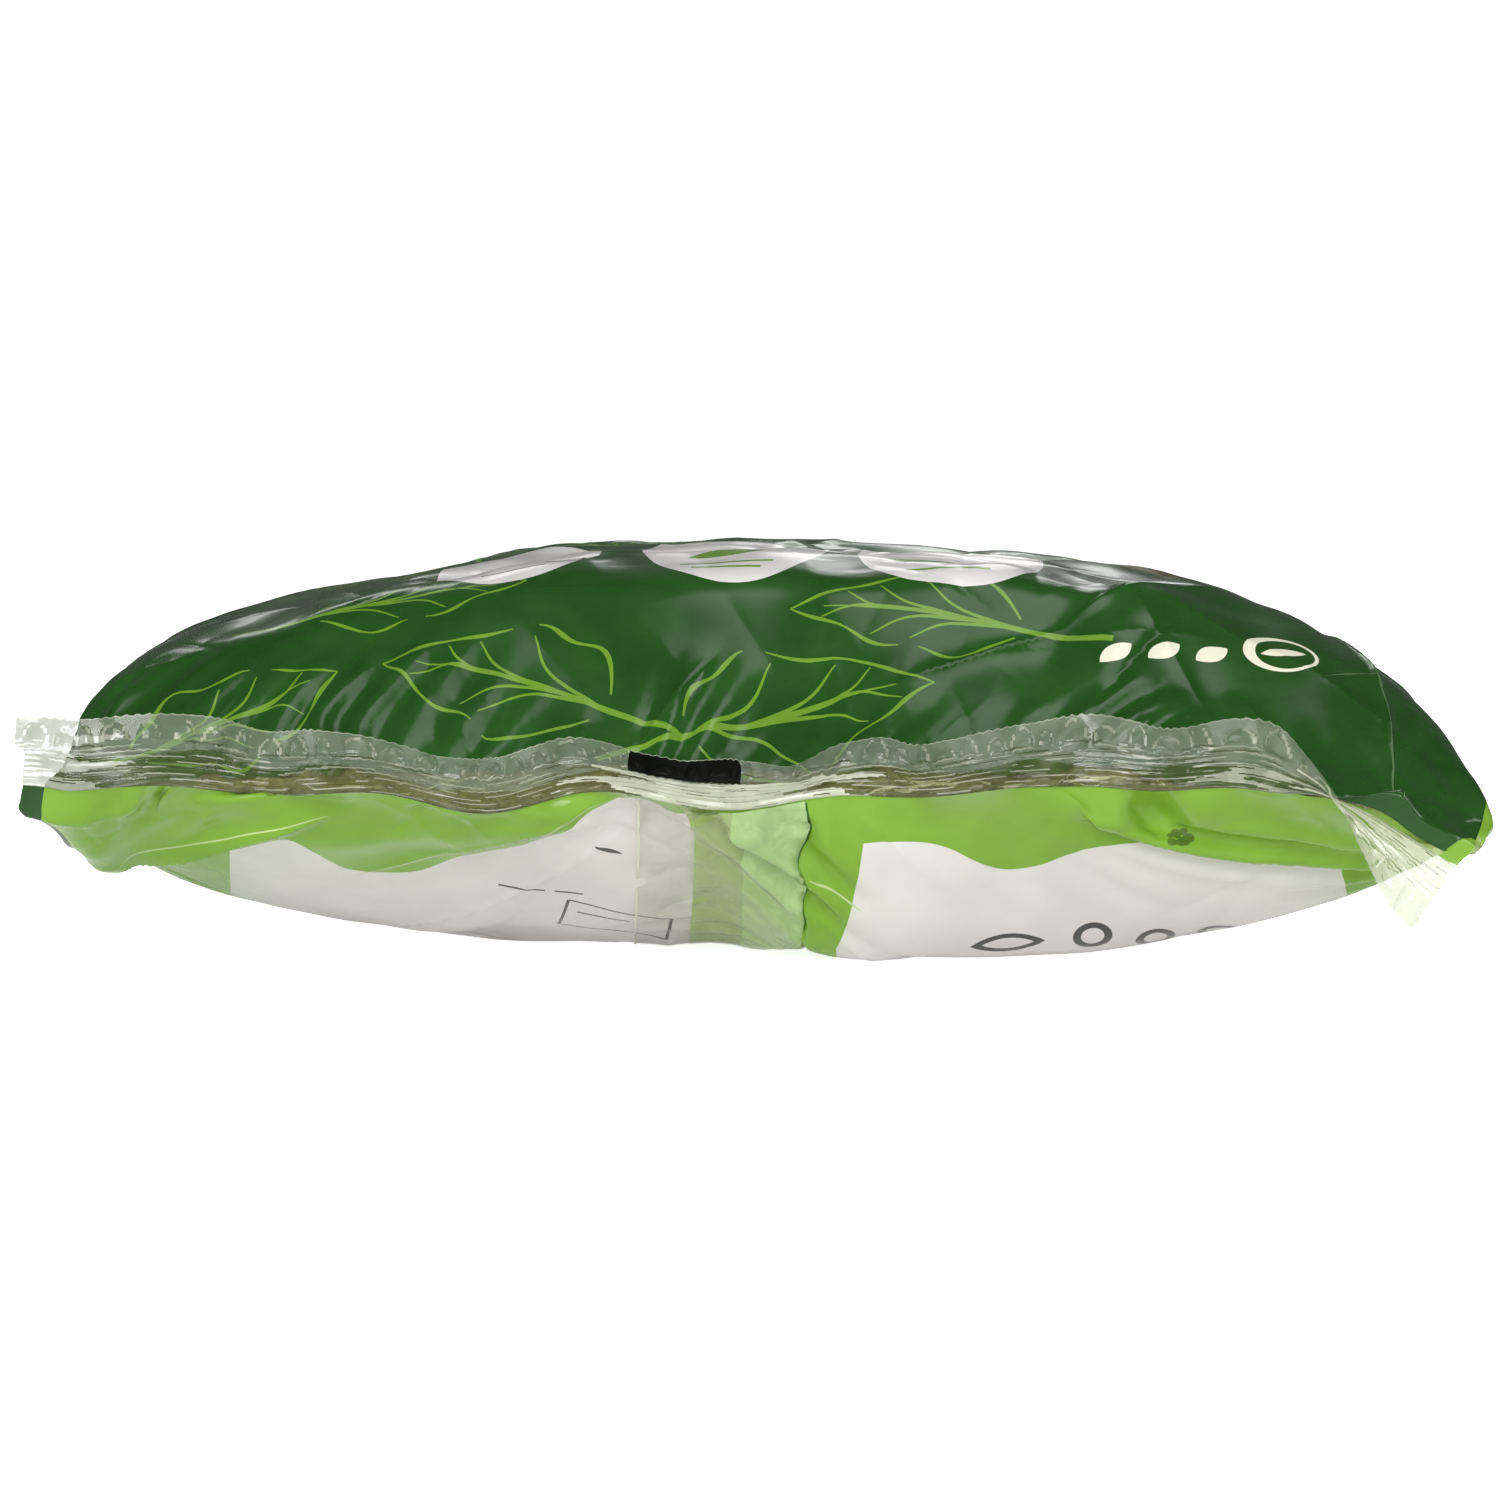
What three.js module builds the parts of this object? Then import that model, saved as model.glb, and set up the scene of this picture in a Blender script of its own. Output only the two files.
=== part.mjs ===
// A sealed film bag of chard greens, lying on its back panel with one end seal towards -Y.
// Millimetres, +Z up, +X to the right of that near seal. The origin is under the bag's middle,
// on the surface it lies on.
import * as THREE from 'three';

const { lerp, smoothstep } = THREE.MathUtils;

// Driving dimensions of the filled bag
const BODY_LENGTH = 342; // root of the near seal to root of the far seal, along the middle
const BODY_HEIGHT = 85.5;
const LEFT_WAIST = 140; // half widths where the body is narrowest, behind the seals
const RIGHT_WAIST = 148;
const LEFT_CORNER = 150; // half widths at the corners, where the seals hold the film flat
const RIGHT_CORNER = 154;
const MIDDLE_SWELL = 4; // how much further each side stands out midway along the bag
const FLARE_LENGTH = 26; // the corners' width dies away over this length of film
const SEAL_HOLD = 58; // the seals flatten the body's section over this length
const CORNER_REACH = 7; // how far the corners stand out past the middle of a seal
const FOLD_HEIGHT = 34; // the side folds, above the surface the bag lies on
const ROOT_HEIGHT = 37.7; // the near seal's root
const FAR_ROOT_HEIGHT = 30;
const ROOT_EDGE = 2; // thickness of the body where it ends behind a seal

// The near end is blunt, because the greens have settled there. The far end tapers.
const NEAR_TOP_RUN = 56;
const NEAR_BASE_RUN = 42;
const FAR_TOP_RUN = 104;
const FAR_BASE_RUN = 88;

// The top is a low roof. Past each of these places across the bag it falls by a further slope.
const ROOF_LEFT = { from: -34, slope: 0.17 };
const ROOF_RIGHT = { from: 10, slope: 0.06 };
const ROOF_SHOULDER = { from: 92, slope: 0.28 };
const ROOF_ROUNDING = 8;

// End seals: two film layers crimped together
const SEAL_DEPTH = 16;
const SEAL_THICKNESS = 0.9;
const SEAL_GAP = 0.3;
const TWIST_AT = 99; // the near seal rolls over here and hangs down as a tail
const TAIL_END = 146; // where its root ends, short of the right corner

// Seam that closes the tube, folded flat against the back panel
const SEAM_FROM = -24; // free edge
const SEAM_TO = 11; // root
const SEAM_THICKNESS = 0.8;
const SEAM_CLEARANCE = 0.3;
const SEAM_LIFT = 0.2; // the seam's outer face, above the surface the bag lies on

// Divisions
const ACROSS = 46;
const ALONG = 32;
const SEAL_STEPS = 60;
const SEAL_ROWS = 5;

const film = {
  front: new THREE.MeshStandardMaterial({ name: 'printed_film', color: 0x24431d, roughness: 0.3 }),
  clear: new THREE.MeshStandardMaterial({ name: 'clear_film', color: 0xb9c2ad, roughness: 0.25 }),
  seam: new THREE.MeshStandardMaterial({ name: 'seam_film', color: 0x8fae5e, roughness: 0.3 }),
};

const bump = (x, centre, width) => Math.exp(-(((x - centre) / width) ** 2));

// ---------- the filled body ----------

// How full the bag is at a distance from a seal's root: 0 there, 1 once the run is over.
function filling(distance, run, roundness) {
  return 1 - roundness * Math.log1p(Math.exp((1 - distance / run) / roundness));
}

function nearRootHeight(x) {
  const dips = 3.4 * bump(x, -55, 20) + 3.8 * bump(x, 2, 17);
  const rises = 1.8 * bump(x, 74, 11) + 1.8 * (1 - smoothstep(x, -150, -100));
  const droop = 22 * smoothstep(x, 114, 165) - 10 * smoothstep(x, TAIL_END - 1, RIGHT_CORNER);
  return ROOT_HEIGHT + rises - dips - droop;
}

function farRootHeight(x) {
  return FAR_ROOT_HEIGHT + 2.5 * Math.sin(x / 34) + 1.2 * Math.cos(x / 15);
}

// Puckers gathered by the seals die away over the first few centimetres of film.
function puckers(x, distance, phase) {
  const reach = (distance / 20) * Math.exp(1 - distance / 20);
  return reach * (0.9 * Math.sin(x / 4.6 + phase) + 0.6 * Math.sin(x / 8.1 + 2.2 * phase));
}

// A fold across the film: deep on its line, which runs from one plan point to another.
function fold(x, y, from, to, width) {
  const [runX, runY] = [to[0] - from[0], to[1] - from[1]];
  const length = Math.hypot(runX, runY);
  const along = ((x - from[0]) * runX + (y - from[1]) * runY) / length;
  const aside = ((x - from[0]) * runY - (y - from[1]) * runX) / length;
  const ends = smoothstep(along, -0.1 * length, 0.2 * length)
    * (1 - smoothstep(along, 0.8 * length, 1.1 * length));
  return ends * bump(aside, 0, width);
}

function roofHeight(x) {
  const past = (distance) => ROOF_ROUNDING * Math.log1p(Math.exp(distance / ROOF_ROUNDING));
  const left = ROOF_LEFT.slope * past(ROOF_LEFT.from - x);
  const right = ROOF_RIGHT.slope * past(x - ROOF_RIGHT.from);
  return BODY_HEIGHT - left - right - ROOF_SHOULDER.slope * past(x - ROOF_SHOULDER.from);
}

function topRelief(x, y) {
  return 2.4 * fold(x, y, [122, -150], [118, -30], 7)
    - 3.2 * fold(x, y, [96, -150], [104, -90], 11)
    - 2.6 * fold(x, y, [60, -145], [88, -60], 9)
    + 1.8 * fold(x, y, [-60, -128], [90, -112], 8)
    - 2.2 * fold(x, y, [-120, -110], [-40, -60], 14)
    - 2.0 * fold(x, y, [-90, 30], [60, 70], 18)
    - 2.2 * fold(x, y, [20, -60], [110, 40], 16);
}

function baseRelief(x, y) {
  return 2.2 * fold(x, y, [-132, -150], [-84, -168], 6)
    - 1.6 * fold(x, y, [-112, -150], [-28, -168], 5)
    + 1.5 * fold(x, y, [-70, -135], [-20, -165], 6);
}

// How far a seal's root stands out past its middle, from 0 in the middle to the corner's reach.
const cornerReach = (side) => CORNER_REACH * side ** 2.5;

// One point of the body: across runs from -1 at the left fold to 1 at the right, along from 0 at
// the near seal to 1 at the far one.
function bodyPoint(panel, across, along) {
  const side = Math.abs(across);
  const near = along * BODY_LENGTH;
  const far = BODY_LENGTH - near;
  const nearHold = 1 - smoothstep(near, 0, SEAL_HOLD);
  const farHold = 1 - smoothstep(far, 0, SEAL_HOLD);
  const reach = cornerReach(side);
  const y = near - BODY_LENGTH / 2 - reach * nearHold + reach * farHold;

  const [waist, corner] = across < 0 ? [LEFT_WAIST, LEFT_CORNER] : [RIGHT_WAIST, RIGHT_CORNER];
  const flare = Math.exp(-near / FLARE_LENGTH) + Math.exp(-far / FLARE_LENGTH);
  const x = across * lerp(waist + MIDDLE_SWELL * Math.sin(Math.PI * along), corner, flare);

  const held = nearRootHeight(x) * nearHold + farRootHeight(x) * farHold;
  const middle = held + FOLD_HEIGHT * (1 - nearHold - farHold);
  const edge = (ROOT_EDGE / 2) * (1 - side ** 6);
  const softEnds = smoothstep(Math.min(near, far), 0, SEAL_HOLD);
  const inset = 1 - side ** 4; // the relief fades out at the side folds

  if (panel === 'front') {
    const full = filling(near, NEAR_TOP_RUN, 0.12) + filling(far, FAR_TOP_RUN, 0.22) - 1;
    const square = across < 0 ? 4 : 3;
    const wall = (1 - side ** lerp(2.4, 7, softEnds)) ** (1 / lerp(1.5, square, softEnds));
    const relief = topRelief(x, y) + puckers(x, near, 0.4) + puckers(x, far, 1.9);
    const z = middle + edge + (roofHeight(x) - middle) * full * wall + relief * inset;
    return new THREE.Vector3(x, y, z);
  }
  // To the right of the seam the base drops to the table at once, and to the left it lifts.
  const leftSide = smoothstep(-x, -18, 10);
  const tuck = NEAR_BASE_RUN + 17 * leftSide - 12 * bump(x, 27, 22);
  const full = filling(near, tuck, lerp(0.1, 0.28, leftSide)) + filling(far, FAR_BASE_RUN, 0.2) - 1;
  const belly = (1 - side ** lerp(3, 2.5, softEnds)) ** (1 / lerp(1.6, 2.1, softEnds));
  // A pouch of loose film hangs under the left corner.
  const pouch = 8 * bump(x, -133, 16) * bump(y, -150, 20) * (1 - side ** 12);
  const relief = baseRelief(x, y) + puckers(x, near, 2.7) + puckers(x, far, 0.9);
  const z = middle - edge - (middle + 2) * full * belly - pouch + relief * inset;
  return new THREE.Vector3(x, y, Math.max(z, 0));
}

// ---------- meshes ----------

// A closed solid between two grids of points. The first grid faces the way that its rows and
// columns turn; both are split into triangles alike, and triangles without area are left out.
function closedSolid(outer, inner) {
  const positions = [];
  const known = new Map();
  const triangles = [];
  const indexOf = (point) => {
    const key = [point.x, point.y, point.z].map((value) => value.toFixed(4)).join();
    if (!known.has(key)) {
      known.set(key, positions.length / 3);
      positions.push(point.x, point.y, point.z);
    }
    return known.get(key);
  };
  const triangle = (a, b, c) => {
    const [i, j, k] = [indexOf(a), indexOf(b), indexOf(c)];
    if (i !== j && j !== k && k !== i) triangles.push(i, j, k);
  };
  const quad = (a, b, c, d) => {
    triangle(a, b, c);
    triangle(a, c, d);
  };

  const columns = outer.length - 1;
  const rows = outer[0].length - 1;
  for (let i = 0; i < columns; i += 1) {
    for (let j = 0; j < rows; j += 1) {
      quad(outer[i][j], outer[i + 1][j], outer[i + 1][j + 1], outer[i][j + 1]);
      quad(inner[i][j], inner[i][j + 1], inner[i + 1][j + 1], inner[i + 1][j]);
    }
    quad(inner[i][0], inner[i + 1][0], outer[i + 1][0], outer[i][0]);
    quad(outer[i][rows], outer[i + 1][rows], inner[i + 1][rows], inner[i][rows]);
  }
  for (let j = 0; j < rows; j += 1) {
    quad(outer[0][j], outer[0][j + 1], inner[0][j + 1], inner[0][j]);
    quad(inner[columns][j], inner[columns][j + 1], outer[columns][j + 1], outer[columns][j]);
  }

  const geometry = new THREE.BufferGeometry();
  geometry.setAttribute('position', new THREE.Float32BufferAttribute(positions, 3));
  geometry.setIndex(triangles);
  geometry.computeVertexNormals();
  return geometry;
}

// A sheet with both faces half its thickness from a grid of points through its middle.
function sheetSolid(middle, thickness) {
  const shifted = (sign) => middle.map((line, i) => line.map((point, j) => {
    const before = middle[Math.max(i - 1, 0)][j];
    const after = middle[Math.min(i + 1, middle.length - 1)][j];
    const under = line[Math.max(j - 1, 0)];
    const over = line[Math.min(j + 1, line.length - 1)];
    const normal = after.clone().sub(before).cross(over.clone().sub(under)).normalize();
    return point.clone().addScaledVector(normal, (sign * thickness) / 2);
  }));
  return closedSolid(shifted(1), shifted(-1));
}

const range = (count) => Array.from({ length: count + 1 }, (_, index) => index / count);
const crowdEnds = (t) => lerp(t, (1 - Math.cos(Math.PI * t)) / 2, 0.75);

// ---------- sub-parts ----------

const alongStations = range(ALONG).map(crowdEnds);
const SEAM_FIRST = 4; // stations that the seam's ends keep from each seal
const seamStations = alongStations.slice(SEAM_FIRST, ALONG + 1 - SEAM_FIRST);

// The seam's edges as places across the body, which it follows from seal to seal.
const seamEdges = [SEAM_FROM / LEFT_WAIST, SEAM_TO / RIGHT_WAIST];
const seamColumns = range(4).map((t) => lerp(...seamEdges, t));
const clearance = SEAM_CLEARANCE / LEFT_WAIST;

function bagBody() {
  // Columns crowd towards the folds, and stand in pairs at the walls of the seam's recess.
  const spread = range(ACROSS).map((t) => lerp(2 * t - 1, -Math.cos(Math.PI * t), 0.55));
  const [left, right] = [seamEdges[0] - clearance, seamEdges[1] + clearance];
  const clearOfSeam = spread.filter((a) => a < left - 0.02 || a > right + 0.02);
  const columns = [...clearOfSeam, left - clearance, left, ...seamColumns, right, right + clearance];
  columns.sort((a, b) => a - b);

  const recess = SEAM_LIFT + SEAM_THICKNESS + SEAM_CLEARANCE;
  const front = columns.map((a) => alongStations.map((t) => bodyPoint('front', a, t)));
  const back = columns.map((a) => alongStations.map((t, j) => {
    const point = bodyPoint('back', a, t);
    const beside = a < left - 1e-9 || a > right + 1e-9;
    const past = j < SEAM_FIRST || j > ALONG - SEAM_FIRST;
    if (!beside && !past) point.z += recess;
    return point;
  }));
  return closedSolid(front, back);
}

function backSeam() {
  const face = (height) => seamColumns.map((a) => seamStations.map((t) => {
    const point = bodyPoint('back', a, t);
    point.z += height;
    return point;
  }));
  return closedSolid(face(SEAM_LIFT + SEAM_THICKNESS), face(SEAM_LIFT));
}

// Which way the near seal stands: 0 degrees forwards, 90 up, more than 90 back over the bag.
function nearSealLean(x) {
  const standing = 104 + 34 * bump(x, -12, 60);
  return lerp(standing, -78, smoothstep(x, TWIST_AT, TWIST_AT + 38));
}

// The seal leaves its root level, then turns to its own lean over the first few millimetres.
function sealSheet(root, lean, outwards) {
  const TURN = 5;
  return range(SEAL_STEPS).map((s) => {
    const base = root(s);
    const ahead = root(s + 0.004).sub(root(s - 0.004)).setY(0).normalize();
    const rise = new THREE.Vector3(-ahead.z, 0, ahead.x);
    const forwards = new THREE.Vector3(0, outwards, 0);
    const point = base.clone();
    const line = [point.clone()];
    const FINE = 8;
    for (let step = 1; step <= SEAL_ROWS * FINE; step += 1) {
      const height = ((step - 0.5) / (SEAL_ROWS * FINE)) * SEAL_DEPTH;
      const angle = THREE.MathUtils.degToRad(lean(base.x)) * smoothstep(height, 0, TURN);
      const stride = SEAL_DEPTH / (SEAL_ROWS * FINE);
      point.addScaledVector(forwards, stride * Math.cos(angle));
      point.addScaledVector(rise, stride * Math.sin(angle));
      if (step % FINE === 0) line.push(point.clone());
    }
    return line;
  });
}

function endPoint(x, along) {
  const side = Math.abs(x) / (x < 0 ? LEFT_CORNER : RIGHT_CORNER);
  const y = BODY_LENGTH / 2 + cornerReach(side) + SEAL_GAP;
  return along === 0
    ? new THREE.Vector3(x, -y, nearRootHeight(x))
    : new THREE.Vector3(x, y, farRootHeight(x));
}

function frontEndSeal() {
  const root = (s) => endPoint(lerp(-LEFT_CORNER, TAIL_END, s), 0);
  return sheetSolid(sealSheet(root, nearSealLean, -1), SEAL_THICKNESS);
}

function rearEndSeal() {
  const lean = (x) => 18 * Math.sin(x / 30) + 8 * Math.cos(x / 13);
  const root = (s) => endPoint(lerp(-LEFT_CORNER, RIGHT_CORNER, s), 1);
  return sheetSolid(sealSheet(root, lean, 1), SEAL_THICKNESS);
}

function subPart(name, geometry, material) {
  const mesh = new THREE.Mesh(geometry, material);
  mesh.name = name;
  return mesh;
}

const bag = new THREE.Group();
bag.add(
  subPart('bag_body', bagBody(), film.front),
  subPart('front_end_seal', frontEndSeal(), film.clear),
  subPart('rear_end_seal', rearEndSeal(), film.clear),
  subPart('back_seam', backSeam(), film.seam),
);

export default bag;
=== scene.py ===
"""A sealed bag of chard greens in printed film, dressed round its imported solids.

Lengths are in millimetres until a mesh is made, in the frame of the solids: +X to the right of the
near seal, +Y along the bag, +Z up from the table. A place on the film is (u, v): u runs from the
left fold to the right one across either panel, and v from the near seal's root to the far one's.
"""
import math

import bpy
import numpy as np
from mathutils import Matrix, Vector
from mathutils.geometry import delaunay_2d_cdt

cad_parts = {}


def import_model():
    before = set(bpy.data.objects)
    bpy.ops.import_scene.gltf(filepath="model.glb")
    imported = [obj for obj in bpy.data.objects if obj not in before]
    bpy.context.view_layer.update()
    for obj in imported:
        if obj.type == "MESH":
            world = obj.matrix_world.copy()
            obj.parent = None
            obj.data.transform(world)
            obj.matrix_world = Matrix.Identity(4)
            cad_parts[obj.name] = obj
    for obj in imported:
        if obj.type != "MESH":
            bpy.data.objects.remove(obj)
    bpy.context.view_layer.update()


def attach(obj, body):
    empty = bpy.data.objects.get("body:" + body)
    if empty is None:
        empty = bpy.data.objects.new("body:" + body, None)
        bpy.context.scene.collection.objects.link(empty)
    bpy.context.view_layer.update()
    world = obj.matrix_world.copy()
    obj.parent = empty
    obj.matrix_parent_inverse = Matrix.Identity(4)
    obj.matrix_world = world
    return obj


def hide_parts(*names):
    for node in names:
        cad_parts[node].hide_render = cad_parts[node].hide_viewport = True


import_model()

MM = 0.001

# ---------------------------------------------------------------- driving dimensions

BODY_LENGTH = 342.0  # filled, between the seals' roots
BODY_HEIGHT = 85.5
LEFT_WAIST, RIGHT_WAIST = 140.0, 148.0
LEFT_CORNER, RIGHT_CORNER = 150.0, 154.0
MIDDLE_SWELL = 4.0  # how much wider than its waist the bag is half way along
FLARE_LENGTH = 26.0
SEAL_HOLD = 58.0  # how far from its root each seal still flattens the bag
CORNER_REACH = 7.0
FOLD_HEIGHT = 34.0
ROOT_HEIGHT = 37.7
FAR_ROOT_HEIGHT = 30.0
NEAR_TOP_RUN, NEAR_BASE_RUN = 56.0, 42.0
FAR_TOP_RUN, FAR_BASE_RUN = 104.0, 88.0
ROOF_LEFT, ROOF_RIGHT, ROOF_SHOULDER = (-34.0, 0.17), (10.0, 0.06), (92.0, 0.28)  # from x, slope
ROOF_ROUNDING = 8.0
LEAST_SWELL = 0.3  # the panels never come closer to the folds' height than this

SEAL_DEPTH = 16.0
TAIL_END = 146.0  # where the near seal's hanging tail stops
SEAM_FROM, SEAM_TO = -24.0, 11.0  # the strip of the back panel that lies over the seam's flap

FILM_WIDTH = 322.0  # the tube laid flat
HALF_FILM = FILM_WIDTH / 2
FILM_LENGTH = 372.0  # between the seals' roots
TABLE_GAP = 0.15
LUMP_SHARE = 0.6  # taut film bridges the hollows between the lumps of greens

# ---------------------------------------------------------------- small maths


def smooth(x, low, high):
    """From 0 below low to 1 above high, with no kink."""
    t = np.clip((x - low) / (high - low), 0, 1)
    return t * t * (3 - 2 * t)


def lerp(a, b, t):
    """From a to b as t goes from 0 to 1."""
    return a + (b - a) * t


def bump(x, centre, width):
    """A rounded hump, 1 high."""
    return np.exp(-(((x - centre) / width) ** 2))


def soft_plus(x):
    """0 well below 0 and x well above it, with a rounded corner between."""
    return np.logaddexp(0, x)


def unit(vectors):
    """The same directions, each 1 long."""
    length = np.linalg.norm(vectors, axis=-1, keepdims=True)
    return vectors / np.maximum(length, 1e-9)


# ---------------------------------------------------------------- the filled form


def filling(distance, run, roundness):
    """How full the bag is at a distance from a seal: 0 at its root, 1 once the run is over."""
    return 1 - roundness * soft_plus((1 - distance / run) / roundness)


def near_root_height(x):
    """The near mouth dips left of and at its middle, and droops under the tail."""
    dips = 3.4 * bump(x, -55, 20) + 3.8 * bump(x, 2, 17)
    rises = 1.8 * bump(x, 74, 11) + 1.8 * (1 - smooth(x, -150, -100))
    droop = 22 * smooth(x, 114, 165) - 10 * smooth(x, TAIL_END - 1, RIGHT_CORNER)
    return ROOT_HEIGHT + rises - dips - droop


def far_root_height(x):
    """The far mouth waves gently. Nothing in front shows it."""
    return FAR_ROOT_HEIGHT + 2.5 * np.sin(x / 34) + 1.2 * np.cos(x / 15)


def roof_height(x):
    """The top of the filled bag: level in the middle, with three slopes down to its sides."""
    def past(distance):
        return ROOF_ROUNDING * soft_plus(distance / ROOF_ROUNDING)

    falls = ROOF_LEFT[1] * past(ROOF_LEFT[0] - x) + ROOF_RIGHT[1] * past(x - ROOF_RIGHT[0])
    return BODY_HEIGHT - falls - ROOF_SHOULDER[1] * past(x - ROOF_SHOULDER[0])


def measure_line(x, y, start, end):
    """The length of a line, and how far places are along it and to its right."""
    run = np.subtract(end, start)
    length = np.hypot(*run)
    along = ((x - start[0]) * run[0] + (y - start[1]) * run[1]) / length
    aside = ((x - start[0]) * run[1] - (y - start[1]) * run[0]) / length
    return length, along, aside


def fold_line(x, y, start, end, width):
    """A soft ridge, 1 high, that fades out at both ends."""
    length, along, aside = measure_line(x, y, start, end)
    ends = smooth(along, -0.1 * length, 0.2 * length)
    ends = ends * (1 - smooth(along, 0.8 * length, 1.1 * length))
    return ends * bump(aside, 0, width)


def lumps(x, y, phase):
    """The greens press low lumps into the film from inside."""
    broad = np.sin(x / 11 + y / 17 + phase) * np.sin(y / 13 - x / 29 + 2 * phase)
    middling = np.sin(x / 7.3 - y / 9.1 + 3 * phase) * np.sin(y / 21 + phase)
    small = np.sin(x / 5.1 + y / 6.7 + 5 * phase) * np.sin(x / 19 + phase)
    return LUMP_SHARE * (1.3 * broad + 0.9 * middling + 0.7 * small)


def top_relief(x, y):
    """Ridges, hollows and lumps of the front panel, in height."""
    return (
        2.4 * fold_line(x, y, (122, -150), (118, -30), 7)
        - 3.2 * fold_line(x, y, (96, -150), (104, -90), 11)
        - 2.6 * fold_line(x, y, (60, -145), (88, -60), 9)
        + 1.8 * fold_line(x, y, (-60, -128), (90, -112), 8)
        - 2.2 * fold_line(x, y, (-120, -110), (-40, -60), 14)
        - 2.0 * fold_line(x, y, (-90, 30), (60, 70), 18)
        - 2.2 * fold_line(x, y, (20, -60), (110, 40), 16)
        + lumps(x, y, 0.7)
    )


def base_relief(x, y):
    """Ridges, hollows and lumps of the back panel, in height."""
    return (
        2.2 * fold_line(x, y, (-132, -150), (-84, -168), 6)
        - 1.6 * fold_line(x, y, (-112, -150), (-28, -168), 5)
        + 1.5 * fold_line(x, y, (-70, -135), (-20, -165), 6)
        + 0.8 * lumps(x, y, 2.1)
    )


def corner_reach(side):
    """How far the bag's corners stand out past the middle of each seal."""
    return CORNER_REACH * side**2.5


def half_width(x, near):
    """Half the bag's width on x's side, at a distance from the near seal."""
    waist = np.where(x < 0, LEFT_WAIST, RIGHT_WAIST)
    corner = np.where(x < 0, LEFT_CORNER, RIGHT_CORNER)
    flare = np.exp(-near / FLARE_LENGTH) + np.exp(-(BODY_LENGTH - near) / FLARE_LENGTH)
    return lerp(waist + MIDDLE_SWELL * np.sin(np.pi * near / BODY_LENGTH), corner, flare)


def holds(near):
    """How firmly each seal flattens the section: 1 at its root, 0 past its hold."""
    return 1 - smooth(near, 0, SEAL_HOLD), 1 - smooth(BODY_LENGTH - near, 0, SEAL_HOLD)


def section(x, near):
    """The bag's cross-section: the height of its folds, and the powers and rise of each panel."""
    near_hold, far_hold = holds(near)
    far = BODY_LENGTH - near
    soft_ends = smooth(np.minimum(near, far), 0, SEAL_HOLD)
    middle = (
        near_root_height(x) * near_hold
        + far_root_height(x) * far_hold
        + FOLD_HEIGHT * (1 - near_hold - far_hold)
    )

    full = filling(near, NEAR_TOP_RUN, 0.12) + filling(far, FAR_TOP_RUN, 0.22) - 1
    rise = np.maximum((roof_height(x) - middle) * full, LEAST_SWELL)
    top = (lerp(2.4, 7, soft_ends), lerp(1.5, np.where(x < 0, 4, 3), soft_ends), rise)

    left_side = smooth(-x, -18, 10)
    tuck = NEAR_BASE_RUN + 17 * left_side - 12 * bump(x, 27, 22)
    full = filling(near, tuck, lerp(0.1, 0.28, left_side)) + filling(far, FAR_BASE_RUN, 0.2) - 1
    drop = np.maximum((middle + 2) * full, LEAST_SWELL)
    base = (lerp(3, 2.5, soft_ends), lerp(1.6, 2.1, soft_ends), drop)
    return middle, top, base


def corner_pouch(x, y, side):
    """The left corner by the near seal hangs lower than the rest of the base."""
    return 8 * bump(x, -133, 16) * bump(y, -150, 20) * np.clip(1 - side**12, 0, 1)


def form_point(front, across, along):
    """A point of the filled form, as the solid has it: across from -1 to 1, along from 0 to 1."""
    side = np.abs(across)
    near = along * BODY_LENGTH
    near_hold, far_hold = holds(near)
    reach = corner_reach(side)
    y = near - BODY_LENGTH / 2 - reach * near_hold + reach * far_hold
    x = across * half_width(across, near)
    middle, (top_n, top_p, rise), (base_n, base_p, drop) = section(x, near)
    inset = 1 - side**4
    wall = np.maximum(1 - side**top_n, 0) ** (1 / top_p)
    belly = np.maximum(1 - side**base_n, 0) ** (1 / base_p)
    upper = middle + rise * wall + top_relief(x, y) * inset
    lower = middle - drop * belly - corner_pouch(x, y, side) + base_relief(x, y) * inset
    return np.stack([x, y, np.where(front, upper, np.maximum(lower, 0))], -1)


def fullness(points):
    """How far out of the form points lie: 1 on its surface, less inside it."""
    x, y, z = points[..., 0], points[..., 1], points[..., 2]
    near = y + BODY_LENGTH / 2
    side = np.clip(np.abs(x) / LEFT_WAIST, 0, 1)
    for _ in range(2):
        near_hold, far_hold = holds(near)
        near = y + BODY_LENGTH / 2 + corner_reach(side) * (near_hold - far_hold)
        near = np.clip(near, 0, BODY_LENGTH)
        side = np.clip(np.abs(x) / half_width(x, near), 0, 1.3)
    middle, top, base = section(x, near)
    upper = z > middle
    inset = np.clip(1 - side**4, 0, 1)
    power, root, reach = (np.where(upper, a, b) for a, b in zip(top, base))
    sunk = corner_pouch(x, y, side) - base_relief(x, y) * inset
    reach = np.maximum(reach + np.where(upper, top_relief(x, y) * inset, sunk), LEAST_SWELL)
    return (side**power + (np.abs(z - middle) / reach) ** root) ** (1 / root)


def form_planes(points):
    """The signed distance from points to the form's surface, and the way out of it."""
    step, farthest, flattest = 0.4, 12, 0.004
    here = fullness(points)
    slopes = [fullness(points + step * axis) - here for axis in np.eye(3)]
    gradient = np.stack(slopes, -1) / step
    steepness = np.linalg.norm(gradient, axis=-1)
    distance = (here - 1) / np.maximum(steepness, flattest)
    return np.clip(distance, -farthest, farthest), unit(gradient)


# ---------------------------------------------------------------- the film, relaxed over the form


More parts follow.
